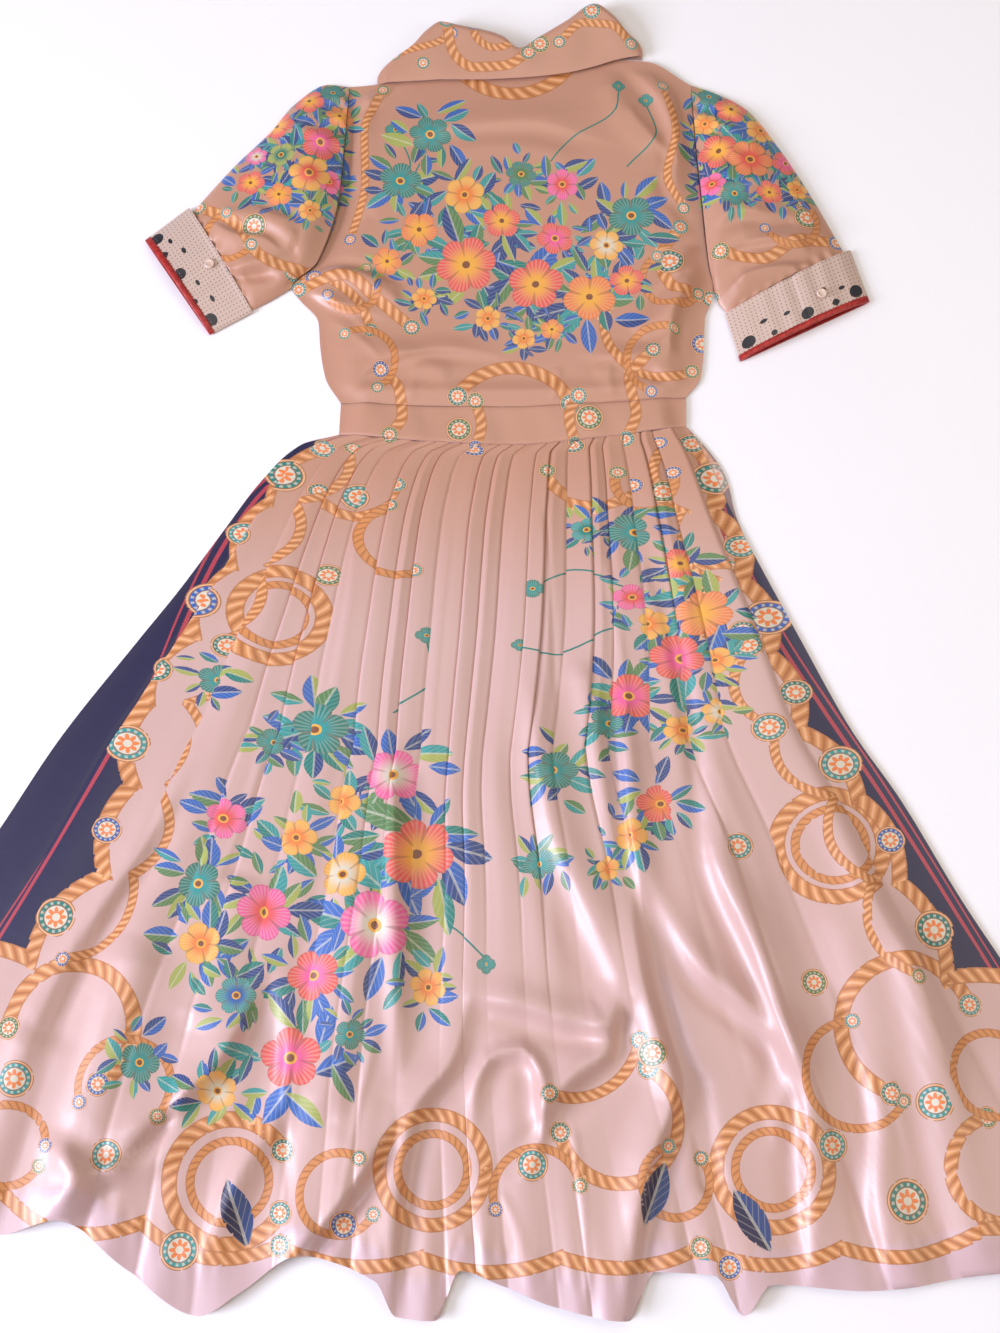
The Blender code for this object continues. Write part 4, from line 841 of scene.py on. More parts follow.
def paint(corners, motifs, ground, base_kind=PLAIN, base_pitch=0.004):
    """Print of cells by their corners in the plan: two motifs, one on the other, and a ground."""
    count = len(corners)
    middle = corners.mean(axis=1)
    low = Layer(count)
    top = Layer(count)
    ground = ground.copy()
    if base_kind == DOTS:
        top.facts[:, 0] = DOTS
        top.place[:, :, :2] = corners / base_pitch
        top.tint_a[:] = BROWN
    margin = 0.0018
    for motif in motifs:
        if motif.path is None:
            reach = max(motif.radii) + margin
            away = middle - np.array(motif.spot)
            found = np.nonzero((np.abs(away[:, 0]) < reach) & (np.abs(away[:, 1]) < reach))[0]
            if len(found) == 0:
                continue
            cosine = math.cos(motif.turn)
            sine = math.sin(motif.turn)
            turn = np.array([[cosine, sine], [-sine, cosine]])
            local = (corners[found] - np.array(motif.spot)) @ turn.T / np.array(motif.radii)
            centre = local.mean(axis=1)
            spare = margin / min(motif.radii)
            if motif.kind == LEAF:
                inside = np.abs(centre[:, 1]) < 1 - centre[:, 0] ** 2 + spare
            else:
                inside = np.hypot(centre[:, 0], centre[:, 1]) < 1 + spare * 0.5
            found = found[inside]
            local = local[inside]
        else:
            path = motif.path
            reach = motif.half_width + margin
            near = (middle > path.min(axis=0) - reach) & (middle < path.max(axis=0) + reach)
            found = np.nonzero(near.all(axis=1))[0]
            if len(found) == 0:
                continue
            start = path[:-1]
            run = path[1:] - start
            length = np.hypot(run[:, 0], run[:, 1])
            begins = np.concatenate([[0.0], np.cumsum(length)[:-1]])
            best = np.full(len(found), np.inf)
            chosen = np.zeros(len(found), dtype=int)
            for index in range(len(run)):
                away = middle[found] - start[index]
                along = np.clip((away @ run[index]) / length[index] ** 2, 0.0, 1.0)
                distance = np.hypot(*(away - along[:, None] * run[index]).T)
                closer = distance < best
                best[closer] = distance[closer]
                chosen[closer] = index
            inside = best < reach
            found = found[inside]
            chosen = chosen[inside]
            away = corners[found] - start[chosen][:, None, :]
            direction = run[chosen] / length[chosen][:, None]
            along = (away * direction[:, None, :]).sum(axis=2)
            across = away[:, :, 1] * direction[:, None, 0] - away[:, :, 0] * direction[:, None, 1]
            along = (along + begins[chosen][:, None]) / (1.7 * motif.half_width)
            local = np.stack([along, across / motif.half_width], axis=2)
        covered = found[top.facts[found, 0] > 0]
        under = covered[low.facts[covered, 0] > 0]
        ground[under] = np.where(low.facts[under, :1] == LINE, ground[under], low.tint_a[under])
        low.take(top, covered)
        top.place[found, :, :2] = local
        top.facts[found, 0] = motif.kind
        top.facts[found, 1] = motif.count
        top.tint_a[found] = motif.tints[0]
        top.tint_b[found] = motif.tints[1]
    return low, top, ground


def navy_side(x, y):
    """True where the cloth of the skirt is navy: between its border and its side fold."""
    result = np.zeros(np.shape(x), dtype=bool)
    for side, border in BORDERS.items():
        path = scallops(border, -BORDER_BULGE * side)
        far = np.array([[side * 0.9, path[-1][1]], [side * 0.9, 0.05], [path[0][0], 0.05]])
        ring = np.concatenate([path, far])
        inside = np.zeros(np.shape(x), dtype=bool)
        for first, second in zip(ring, np.roll(ring, -1, axis=0)):
            if abs(second[1] - first[1]) < 1e-9:
                continue
            crosses = (y < first[1]) != (y < second[1])
            edge_x = first[0] + (y - first[1]) * (second[0] - first[0]) / (second[1] - first[1])
            inside ^= crosses & (x < edge_x)
        result |= inside
    return result


def skirt_ground_and_painted_light(middle):
    """Ground of the skirt's cells: tan at the waist, pinker further down, navy at the sides. The turn from
    tan to pink is painted light, the dimmer warm light at the waist and the cooler light lower down; the navy
    is print.
    """
    share = eased(-middle[:, 1:] / 0.22)
    plain = np.array(TAN) * (1 - share) + np.array(BEIGE) * share
    return np.where(navy_side(middle[:, 0], middle[:, 1])[:, None], np.array(NAVY), plain)


# Materials
class Value:
    """A number in a shader, so that sums of it read as plain arithmetic."""

    def __init__(self, nodes, socket):
        self.nodes = nodes
        self.socket = socket

    def run(self, operation, *others):
        return self.nodes.maths(operation, self, *others)

    def ramp(self, low, high):
        """0 below low, 1 above high, soft between."""
        node = self.nodes.new("ShaderNodeMapRange")
        node.interpolation_type = "SMOOTHSTEP"
        node.inputs["From Min"].default_value = low
        node.inputs["From Max"].default_value = high
        self.nodes.join(self, node.inputs["Value"])
        return Value(self.nodes, node.outputs["Result"])

    def near(self, value, reach):
        return self.run("COMPARE", value, reach)

    def __add__(self, other):
        return self.run("ADD", other)

    def __sub__(self, other):
        return self.run("SUBTRACT", other)

    def __rsub__(self, other):
        return self.nodes.maths("SUBTRACT", other, self)

    def __mul__(self, other):
        return self.run("MULTIPLY", other)

    def __abs__(self):
        return self.run("ABSOLUTE")

    def __lt__(self, other):
        return self.run("LESS_THAN", other)

    def __gt__(self, other):
        return self.run("GREATER_THAN", other)


class Nodes:
    """The nodes of one material, each made and linked by one call."""

    def __init__(self, name):
        self.material = bpy.data.materials.new(name)
        self.material.use_nodes = True
        self.tree = self.material.node_tree
        self.shader = self.tree.nodes["Principled BSDF"]

    def new(self, kind):
        return self.tree.nodes.new(kind)

    def join(self, value, socket):
        """Link a value or an output to a socket, or set the socket to a plain number, colour or vector."""
        if isinstance(value, Value):
            value = value.socket
        if isinstance(value, bpy.types.NodeSocket):
            self.tree.links.new(value, socket)
        elif isinstance(value, tuple) and len(socket.default_value) == 4:
            socket.default_value = (*value, 1.0)
        else:
            socket.default_value = value

    def maths(self, operation, *values):
        node = self.new("ShaderNodeMath")
        node.operation = operation
        for value, socket in zip(values, node.inputs):
            self.join(value, socket)
        return Value(self, node.outputs[0])

    def attribute(self, name, output="Color"):
        node = self.new("ShaderNodeAttribute")
        node.attribute_name = name
        return node.outputs[output]

    def parts(self, name):
        """The three numbers of a vector attribute."""
        node = self.new("ShaderNodeSeparateXYZ")
        self.join(self.attribute(name, "Vector"), node.inputs[0])
        return [Value(self, output) for output in node.outputs]

    def mix(self, factor, first, second):
        node = self.new("ShaderNodeMix")
        node.data_type = "RGBA"
        for index, value in ((0, factor), (6, first), (7, second)):
            self.join(value, node.inputs[index])
        return node.outputs[2]

    def noise(self, stretch, detail):
        """Noise at a scale along each axis of the row frame."""
        scaled = self.new("ShaderNodeVectorMath")
        scaled.operation = "MULTIPLY"
        self.join(self.new("ShaderNodeNewGeometry").outputs["Position"], scaled.inputs[0])
        self.join(stretch, scaled.inputs[1])
        node = self.new("ShaderNodeTexNoise")
        node.inputs["Scale"].default_value = 1.0
        node.inputs["Detail"].default_value = detail
        self.join(scaled.outputs[0], node.inputs["Vector"])
        return Value(self, node.outputs[0])

    def finish(self, colour, height, strength, distance):
        """Give the shader its colour and a bump from a height."""
        bump = self.new("ShaderNodeBump")
        bump.inputs["Strength"].default_value = strength
        bump.inputs["Distance"].default_value = distance
        self.join(height, bump.inputs["Height"])
        self.join(bump.outputs["Normal"], self.shader.inputs["Normal"])
        self.join(colour, self.shader.inputs["Base Color"])
        return self.material


def printed_colour(nodes, layer, ground):
    """Colour of one layer of the print over a ground, and 1 where the wrong side of the cloth shows."""
    p, q, spare = nodes.parts(layer + "_place")
    kind, petals, wrong_side = nodes.parts(layer + "_facts")
    tint_a = nodes.attribute(layer + "_tint_a")
    tint_b = nodes.attribute(layer + "_tint_b")
    side = abs(q)
    radius = (p * p + q * q).run("SQRT")
    turn = q.run("ARCTAN2", p)

    strand = abs((p + q * 0.45).run("FRACT") - 0.5) * 2.0
    strand_dark = strand.ramp(0.45, 0.95).run("MAXIMUM", side.ramp(0.62, 1.0)) * 0.80
    cord = nodes.mix(strand.ramp(0.0, 0.5), tint_a, GOLD)
    cord = nodes.mix(strand_dark, cord, tint_b)

    wave = abs((turn * (petals * 0.5)).run("COSINE"))
    lobe = wave.run("POWER", 0.45) * 0.32 + 0.68
    flower = nodes.mix(radius.ramp(0.20, 0.82), tint_b, tint_a)
    streak = abs((turn * (petals * 3.5)).run("SINE")).ramp(0.55, 1.0) * radius.ramp(0.30, 0.60)
    flower = nodes.mix(streak * 0.55, flower, nodes.mix(0.45, flower, CREAM))
    gap = (1.0 - wave.ramp(0.05, 0.30)) * radius.ramp(0.20, 0.45) * 0.65
    deep = nodes.mix(0.72, flower, BROWN)
    flower = nodes.mix(gap, flower, deep)
    flower = nodes.mix((radius - lobe).ramp(-0.10, 0.0) * 0.35, flower, deep)
    flower = nodes.mix(radius < 0.21, flower, YELLOW)
    flower = nodes.mix(radius < 0.13, flower, BROWN)

    leaf = nodes.mix(q > 0.0, tint_b, tint_a)
    leaf = nodes.mix((side < 0.10) * 0.45, leaf, CREAM)
    rib = ((p - side * 0.7) * 3.0).run("FRACT")
    leaf = nodes.mix(rib.ramp(0.75, 1.0) * 0.30, leaf, CREAM)

    petal_edge = abs((turn * 4.0).run("COSINE")) * 0.28 + 0.24
    heart = nodes.mix(radius < petal_edge, tint_b, ORANGE)
    heart = nodes.mix(radius < 0.20, heart, CREAM)
    ring = nodes.mix(radius < 0.84, PALE_GOLD, tint_a)
    ring = nodes.mix(radius < 0.60, ring, heart)
    for place in (0.60, 0.84, 0.98):
        ring = nodes.mix(radius.near(place, 0.035) * 0.75, ring, BROWN)
    bead = ((turn * 14.0).run("SINE") > 0.2) * radius.near(0.72, 0.07)
    ring = nodes.mix(bead * 0.6, ring, CREAM)

    dot_p = p.run("FRACT") - 0.5
    dot_q = q.run("FRACT") - 0.5
    shapes = (
        (ROPE, side < 1.0, cord),
        (LINE, side < 1.0, tint_a),
        (FLOWER, radius < lobe, flower),
        (LEAF, side < 1.0 - p * p, leaf),
        (ROSETTE, radius < 1.0, ring),
        (DISC, radius < 1.0, tint_a),
        (DOTS, (dot_p * dot_p + dot_q * dot_q).run("SQRT") < 0.15, tint_a),
    )
    colour = ground
    for number, mask, tint in shapes:
        colour = nodes.mix(kind.near(float(number), 0.3) * mask, colour, tint)
    return colour, wrong_side


def satin_material(name):
    """Satin with the two layers of its print read from the mesh."""
    nodes = Nodes(name)
    colour, wrong_side = printed_colour(nodes, "low", nodes.attribute("ground"))
    colour, wrong_side = printed_colour(nodes, "top", colour)
    colour = nodes.mix(wrong_side * 0.40, colour, BEIGE)
    ripple = nodes.noise((60.0, 60.0, 60.0), 2.0)
    floats = nodes.noise((2600.0, 420.0, 600.0), 1.0)
    shader = nodes.shader.inputs
    shader["Roughness"].default_value = 0.41
    shader["Specular IOR Level"].default_value = 0.80
    shader["Sheen Weight"].default_value = 0.24
    shader["Sheen Roughness"].default_value = 0.40
    shader["Sheen Tint"].default_value = (0.80, 0.76, 1.0, 1.0)
    return nodes.finish(colour, ripple + floats * 0.05, 0.22, 0.0012)


def mottled_material(name, first, second, stretch, roughness, depth, coat=0.0):
    """Two tints mixed by a stretched noise that also stands a little above the face."""
    nodes = Nodes(name)
    noise = nodes.noise(stretch, 3.0)
    nodes.shader.inputs["Roughness"].default_value = roughness
    nodes.shader.inputs["Coat Weight"].default_value = coat
    return nodes.finish(nodes.mix(noise.ramp(0.35, 0.65), first, second), noise, 0.5, depth)


# Meshes
def put_attribute(mesh, name, values):
    """A vector for each corner of the mesh."""
    made = mesh.attributes.new(name, "FLOAT_VECTOR", "CORNER")
    made.data.foreach_set("vector", np.ascontiguousarray(values, dtype=np.float32).ravel())


def new_piece(name, points, faces, material, node_names=()):
    """A smooth mesh piece in the row frame that rides on the dress."""
    mesh = bpy.data.meshes.new(name)
    mesh.from_pydata((np.asarray(points) + PLAN_SHIFT).tolist(), [], faces)
    mesh.polygons.foreach_set("use_smooth", np.ones(len(mesh.polygons), dtype=bool))
    mesh.set_sharp_from_angle(angle=math.radians(80))
    piece = bpy.data.objects.new(name, mesh)
    bpy.context.scene.collection.objects.link(piece)
    mesh.materials.append(material)
    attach(piece, "root")
    if node_names:
        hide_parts(*node_names)
    return piece


def spread(x, y, z):
    """Grid of points from their x, y and z."""
    return np.stack(np.broadcast_arrays(x, y, z), axis=2)


def grid_cells(rows, columns, ring=False):
    """Corner indices of the cells of a grid, each from its low row to its high one."""
    row, column = np.meshgrid(np.arange(rows - 1), np.arange(columns if ring else columns - 1), indexing="ij")
    after = (column + 1) % columns
    below = row * columns
    above = below + columns
    return np.stack([below + column, below + after, above + after, above + column], axis=-1).reshape(-1, 4)


def shell_faces(rows, columns, ring=False):
    """Cells of a shell's outer and inner face and of the strips that join them at its open edges."""
    outer = grid_cells(rows, columns, ring)
    below = rows * columns
    inner = outer[:, ::-1] + below
    strips = []
    if ring:
        for start, turned in ((0, True), ((rows - 1) * columns, False)):
            border = start + np.arange(columns + 1) % columns
            strips.append(border if turned else border[::-1])
    else:
        first = np.arange(columns)
        right = np.arange(1, rows) * columns + columns - 1
        last = np.arange((rows - 1) * columns + columns - 2, (rows - 1) * columns - 1, -1)
        left = np.arange(rows - 2, -1, -1) * columns
        strips.append(np.concatenate([first, right, last, left]))
    walls = []
    for strip in strips:
        walls.append(np.stack([strip[:-1], strip[:-1] + below, strip[1:] + below, strip[1:]], axis=-1))
    return outer, inner, np.concatenate(walls)


def cloth(node_name, outer, inner, motifs, material, name=None, plan=None, cell_plan=None, ground=None,
          slot_name="satin_beige", ring=False, flipped=False, base_kind=PLAIN):
    """A thin printed shell between two grids of points. plan holds each point's place in the print."""
    top, bottom, walls = shell_faces(*outer.shape[:2], ring)
    if plan is None:
        plan = outer[:, :, :2]
    if cell_plan is None:
        cell_plan = plan.reshape(-1, 2)[top]
    # With no ground given, plain cloth gets TAN, whose darker, warmer tone is painted warm light and shade;
    # cuffs get CUFF_CREAM, their own colour.
    if ground is None:
        ground = np.tile(CUFF_CREAM if base_kind == DOTS else TAN, (len(top), 1))
    low, high, ground = paint(cell_plan, motifs, ground, base_kind)
    points = np.concatenate([outer.reshape(-1, 3), inner.reshape(-1, 3)])
    faces = np.concatenate([top, bottom, walls]).tolist()
    piece = new_piece(name or node_name + "_cloth", points, faces, material, (node_name,))

    def put_colours(attribute, values):
        each = np.repeat(values[:, None, :], 4, axis=1)
        put_attribute(piece.data, attribute, np.concatenate([each, each, np.tile(BEIGE, (len(walls), 4, 1))]))

    rim = np.zeros((len(walls), 4, 3))
    for layer_name, layer in (("low", low), ("top", high)):
        place = np.concatenate([layer.place, layer.place[:, ::-1], rim])
        facts = np.concatenate([layer.facts, layer.facts, rim[:, 0]])
        facts[: len(top), 2] = float(flipped)
        facts[len(top) : 2 * len(top), 2] = 1.0 - flipped
        put_attribute(piece.data, layer_name + "_place", place)
        put_attribute(piece.data, layer_name + "_facts", np.repeat(facts[:, None, :], 4, axis=1))
        put_colours(layer_name + "_tint_a", layer.tint_a)
        put_colours(layer_name + "_tint_b", layer.tint_b)
    put_colours("ground", ground)
    return piece


def pleat_columns(side):
    """Places across one half of the skirt, closer together at the edges of the pleats."""
    even = np.linspace(0.0, 1.0, COLUMNS_PER_PLEAT + 1)[:-1]
    parts = 0.5 * (0.5 - 0.5 * np.cos(math.pi * even)) + 0.5 * even
    steps = (np.arange(PLEAT_COUNT // 2)[:, None] + parts).ravel()
    line_half = np.concatenate([across_of(steps, side), [1.0]])
    return -line_half[::-1] if side < 0 else line_half


def build_skirt(motifs, material):
    """Back skirt in two halves with its pleats, and the front skirt below it."""
    down_line = np.linspace(0.0, 1.0, SKIRT_ROWS) ** 1.15
    pieces = []
    for name, side in (("back_skirt_left", -1), ("back_skirt_right", 1)):
        line_across = pleat_columns(side)
        across, down = np.meshgrid(line_across, down_line)
        x, y = skirt_plan(across, down)
        lift, edge = skirt_lift(across, down, x, y)
        z = UPPER_SKIRT_TOP + lift - EDGE_DROP * (1 - edge)
        phase = pleat_phase(across)
        lip = np.exp(-(((phase - np.floor(phase) - 0.92) / 0.05) ** 2)) * eased((0.75 - down) / 0.4)
        shown_x = x + side * 0.0009 * lip
        cells = np.stack([x, y], axis=2).reshape(-1, 2)[grid_cells(*x.shape)].copy()
        # The print is squeezed to the middle of each pleat, so that the hidden folds cut it
        middle_across = 0.5 * (line_across[:-1] + line_across[1:])
        middle_down = 0.5 * (down_line[:-1] + down_line[1:])
        pleat = np.floor(pleat_phase(middle_across) + 1e-9)
        grid_across, grid_down = np.meshgrid(side * across_of(pleat + 0.5, side), middle_down)
        centre_x = skirt_plan(grid_across, grid_down)[0].reshape(-1, 1)
        grid_down = grid_down.reshape(-1, 1)
        cells[:, :, 0] -= 0.30 * eased((0.8 - grid_down) / 0.6) * (cells[:, :, 0] - centre_x)
        hem_band = eased((grid_down - 0.962) / 0.004)
        ground = skirt_ground_and_painted_light(cells.mean(axis=1)) * (1 - hem_band) + hem_band * HEM_COLOUR
        faces = (spread(shown_x, y, z), spread(shown_x, y, z - CLOTH))
        pieces.append(cloth("back_skirt", *faces, motifs, material, name, cell_plan=cells, ground=ground))
    across, down = np.meshgrid(np.linspace(-1.0, 1.0, 177), np.linspace(0.0, 1.0, 90) ** 1.15)
    x, y = skirt_plan(across, down)
    x = x + 0.010 * np.exp(-(((down - 0.07) / 0.05) ** 2)) * np.clip((across - 0.8) / 0.2, 0.0, 1.0)
    relief = 0.0007 * pleat_height(across, down) / 0.006
    outer = spread(x, y, 0.0016 + relief)
    inner = spread(x, y, np.maximum(0.0016 + relief - CLOTH * 0.9 - 0.0006 * (1 - relief / 0.0009), 0.0))
    ground = skirt_ground_and_painted_light(outer[:, :, :2].reshape(-1, 2)[grid_cells(*x.shape)].mean(axis=1))
    front = cloth("front_skirt", outer, inner, motifs, material, ground=ground, flipped=True)
    return pieces, front


def build_band(motifs, material):
    """Back and front waistband."""
    share, up = np.meshgrid(np.linspace(0.0, 1.0, 170), np.linspace(0.0, 1.0, 24))
    low_x = span(WAIST_SEAM, share)
    high_x = span(BODICE_SEAM, share)
    low_y = smooth_at(WAIST_SEAM, low_x) + SEAM_GAP
    high_y = smooth_at(BODICE_SEAM, high_x) - SEAM_GAP
    x = low_x + (high_x - low_x) * up
    y = low_y + (high_y - low_y) * up
    edge = eased(np.minimum(share, 1 - share) / 0.08)
    wave = 0.0008 * np.sin(9.0 * share + 2.0 * up) + 0.0006 * np.sin(23.0 * share - 1.0)
    fine = 0.00025 * np.sin(61.0 * share + 3.0 * up) + 0.0003 * np.sin(37.0 * share)
    roll = 0.0006 * np.clip(1 - np.minimum(up, 1 - up) / 0.10, 0.0, 1.0) ** 2
    z = UPPER_BAND_TOP + (0.0026 + wave + fine) * edge - roll - 0.0012 * (1 - edge)
    bands = []
    for name, top, bottom in (("waistband_back", z, z - CLOTH * 1.4), ("waistband_front", 0.0017, 0.0)):
        flipped = name == "waistband_front"
        outer = spread(x, y, top)
        inner = spread(x, y, bottom)
        bands.append(cloth(name, outer, inner, motifs, material, slot_name="satin_band", flipped=flipped))
    return bands


def build_bodice(motifs, material):
    """Back bodice over the two front halves."""
    across, up = np.meshgrid(np.linspace(0.0, 1.0, 180), np.linspace(0.0, 1.0, 180))
    x, y = bodice_plan(across, up, BACK_TOP)
    lift, edge = bodice_lift(across, up, x, y)
    z = UPPER_BODICE_TOP + lift - 0.0010 * (1 - edge)
    back = cloth("back_bodice", spread(x, y, z), spread(x, y, z - CLOTH), motifs, material)
    fronts = []
    halves = (("front_bodice_left", 0.0, -SEAM_GAP / 2), ("front_bodice_right", 0.5, SEAM_GAP / 2))
    for name, start, shift in halves:
        across, up = np.meshgrid(np.linspace(start, start + 0.5, 60), np.linspace(0.0, 1.0, 90))
        x, y = bodice_plan(across, up, FRONT_TOP)
        x = x + np.where(np.abs(across - 0.5) < 1e-9, shift, 0.0)
        fronts.append(cloth(name, spread(x, y, 0.0014), spread(x, y, 0.0002), motifs, material, flipped=True))
    return back, fronts


def line_between(ends, places):
    """Evenly placed points from the first end to the second."""
    first = np.array(ends[0])
    second = np.array(ends[1])
    return first + (second - first) * places[:, None]


def sleeve_plan(side, places, outs):
    """Plan grid of a sleeve, from the armhole to the cuff's seam and from the inner to the outer fold."""
    table = BODICE_SIDES[side]
    armhole_y = span(table, UNDERARM_SHARE + (1.0 - UNDERARM_SHARE) * places)
    armhole = np.stack([smooth_at(table, armhole_y) + side * SEAM_GAP, armhole_y], axis=-1)
    seam_ends = line_between(CUFF_SEAM[side], np.array(SLEEVE_END_SHARES))
    folds = []
    edges = ((SLEEVE_INNER, armhole[0], seam_ends[0]), (SLEEVE_OUTER, armhole[-1], seam_ends[1]))
    for edge, start, end in edges:
        fold = np.stack([smooth_at(edge[side], outs, 1), smooth_at(edge[side], outs, 2)], axis=-1)
        fold = fold + (start - fold[0]) * ((1 - outs) ** 2)[:, None]
        folds.append(fold + (end - fold[-1]) * (outs**2)[:, None])
    inner, outer = folds
    end = inner[-1] + (outer[-1] - inner[-1]) * places[:, None]
    out_share = outs[:, None, None]
    place_share = places[None, :, None]
    grid = (1 - place_share) * inner[:, None, :] + place_share * outer[:, None, :]
    grid = grid + (1 - out_share) * armhole[None, :, :] + out_share * end[None, :, :]
    corners = (1 - out_share) * ((1 - place_share) * inner[0] + place_share * outer[0])
    corners = corners + out_share * ((1 - place_share) * inner[-1] + place_share * outer[-1])
    return grid - corners


def tube_shell(grid, share, heights, edge_height, extra, wall):
    """Outer and inner rings of a flat tube over a plan grid, its underside on the floor."""
    crown = np.sin(math.pi * share) ** 0.75
    half = 0.5 * edge_height
    sink = np.clip(np.sin(math.pi * share) * 8.0, 0.0, 1.0) ** 0.5
    top = half + (heights[:, None] - half) * crown[None, :] ** 0.8 + extra
    bottom = np.repeat((half * (1 - sink))[None, :], len(heights), axis=0)
    middle = grid.mean(axis=1, keepdims=True)
    width = np.hypot(*(grid[:, -1] - grid[:, 0]).T)[:, None, None]
    shrunk = middle + (grid - middle) * (1 - 2 * wall / width)
    inner_top = np.maximum(top - wall, half * 0.9)
    inner_bottom = np.minimum(bottom + wall, inner_top)

    def ring(plan, high, low):
        return np.concatenate([np.dstack([plan, high]), np.dstack([plan, low])[:, 1:-1][:, ::-1]], axis=1)

    return ring(grid, top, bottom), ring(shrunk, inner_top, inner_bottom)


def build_sleeve(name, side, motifs, material):
    """One short sleeve, gathered into a puff at its cap."""
    outs = np.linspace(0.0, 1.0, 90)
    share = 0.5 - 0.5 * np.cos(math.pi * np.linspace(0.0, 1.0, 110))
    grid = sleeve_plan(side, share, outs)
    x = grid[:, :, 0]
    y = grid[:, :, 1]
    gather = np.sin(2 * math.pi * GATHER_COUNT * share + 0.8 * np.sin(5 * share))
    gather = gather * np.clip(share * 2 - 0.7, 0.0, 1.0) * np.clip((1 - share) / 0.1, 0.0, 1.0)
    fade = np.clip(1 - outs / 0.40, 0.0, 1.0) * np.clip(outs / 0.03, 0.0, 1.0)
    keep = np.clip(np.sin(math.pi * share) * 2.5, 0.0, 1.0)
    folds = fold_heights(SLEEVE_FOLDS, x, y) + long_folds(SLEEVE_LONG_FOLDS, x, y)
    pull = 0.0012 * np.exp(-(((outs - 1.0) / 0.03) ** 2))[:, None] * np.sin(58.0 * share)
    extra = GATHER_HEIGHT * fade[:, None] * gather + (folds + pull) * keep
    outer, inner = tube_shell(grid, share, smooth_at(SLEEVE_HEIGHT, outs), 0.0042, extra, CLOTH)
    return cloth(name, outer, inner, motifs, material, ring=True)


def cuff_grid(side, start, end, stations, share):
    """Plan grid of a cuff between two depths below its seam, in metres, or to the hem with a negative end."""
    seam = line_between(CUFF_SEAM[side], share)
    hem = line_between(CUFF_HEM[side], share)
    middle = len(share) // 2
    length = math.hypot(*(hem[middle] - seam[middle]))
    shares = np.linspace(start / length, 1.0 + end / length, stations)
    return seam[None, :, :] + (hem - seam)[None, :, :] * shares[:, None, None], length * shares


def cuff_lap(side, share, stations):
    """Extra height of the lapped half of a cuff across its width, the same at each station."""
    lap = CUFF_LAP * eased((share - LAP_PLACE[side]) / 0.012) * np.clip((1 - share) / 0.1, 0.0, 1.0)
    return np.repeat(lap[None, :], stations, axis=0)


def cuff_sag(share):
    """How far a cuff's top sags in soft waves across its width."""
    return 0.0005 * np.sin(40 * share) * np.sin(math.pi * share)


def build_cuff(name, binding_name, side, material, red):
    """A cuff with its lapped half, and its red bound edge."""
    share = 0.5 - 0.5 * np.cos(math.pi * np.linspace(0.0, 1.0, 150))
    stations = 40
    grid, depths = cuff_grid(side, SEAM_GAP, -BINDING_DEPTH - SEAM_GAP, stations, share)
    heights = CUFF_HEIGHT + 0.0010 * np.exp(-(((depths - depths[0]) / 0.004) ** 2))
    extra = cuff_lap(side, share, stations) - cuff_sag(share)
    outer, inner = tube_shell(grid, share, heights, CUFF_EDGE_HEIGHT, extra, CLOTH * 1.6)
    across = np.concatenate([share, share[1:-1][::-1]]) * CUFF_PRINT_WIDTH
    plan = np.stack(np.meshgrid(across, depths), axis=2)
    cuff = cloth(name, outer, inner, cuff_motifs(), material, plan=plan, ring=True, base_kind=DOTS)
    stations = 9
    grid, depths = cuff_grid(side, hem_length(side) - BINDING_DEPTH, 0.0, stations, share)
    heights = CUFF_HEIGHT + 0.0004 + 0.0010 * np.sin(math.pi * np.linspace(0.0, 1.0, stations))
    outer, inner = tube_shell(grid, share, heights, 0.0054, cuff_lap(side, share, stations), 0.0020)
    faces = np.concatenate(shell_faces(*outer.shape[:2], True)).tolist()
    points = np.concatenate([outer.reshape(-1, 3), inner.reshape(-1, 3)])
    return cuff, new_piece(binding_name + "_cloth", points, faces, red, (binding_name,))


def hem_length(side):
    """Depth of a cuff at its middle, from its seam to its hem."""
    return math.hypot(*(np.mean(CUFF_HEM[side], axis=0) - np.mean(CUFF_SEAM[side], axis=0)))


def build_button(name, spot, material, thread):
    """A pearly button with a rounded rim and a dished face, sewn on by two bars of thread."""
    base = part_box(name)[0][2] - PLAN_SHIFT[2]
    sides = 40
    turn = np.linspace(0.0, 2 * math.pi, sides, endpoint=False)
    points = []
    for radius, level in BUTTON_PROFILE:
        x = spot[0] + radius * np.cos(turn)
        y = spot[1] + radius * np.sin(turn)
        points.append(np.column_stack([x, y, np.full(sides, base + level)]))
    faces = grid_cells(len(BUTTON_PROFILE), sides, True).tolist()
    faces.append(list(range(sides))[::-1])
    faces.append(list(range((len(BUTTON_PROFILE) - 1) * sides, len(BUTTON_PROFILE) * sides)))
    new_piece(name + "_pearl", np.concatenate(points), faces, material, (name,))
    level = base + BUTTON_THICKNESS * 0.80
    bars = []
    for shift in (-0.0007, 0.0007):
        bars.append(((spot[0] - 0.0009, spot[1] + shift, level), (spot[0] + 0.0009, spot[1] + shift, level)))
    points, faces = stitch_mesh(bars, 0.00028)
    new_piece(name + "_thread", points, faces, thread)


def stitch_mesh(bars, radius):
    """Small spindles from a list of start and end points."""
    points = []
    faces = []
    for start, end in bars:
        start = np.array(start)
        end = np.array(end)
        along = (end - start) / np.linalg.norm(end - start)
        side = np.cross(along, (0.0, 0.0, 1.0))
        side /= np.linalg.norm(side)
        up = np.cross(side, along)
        middle = 0.5 * (start + end)
        first = len(points)
        around = [middle + side * radius, middle + up * radius, middle - side * radius, middle - up * radius]
        points += [start, *around, end]
        for a, b in ((1, 2), (2, 3), (3, 4), (4, 1)):
            faces.append([first, first + b, first + a])
            faces.append([first + 5, first + a, first + b])
    return points, faces


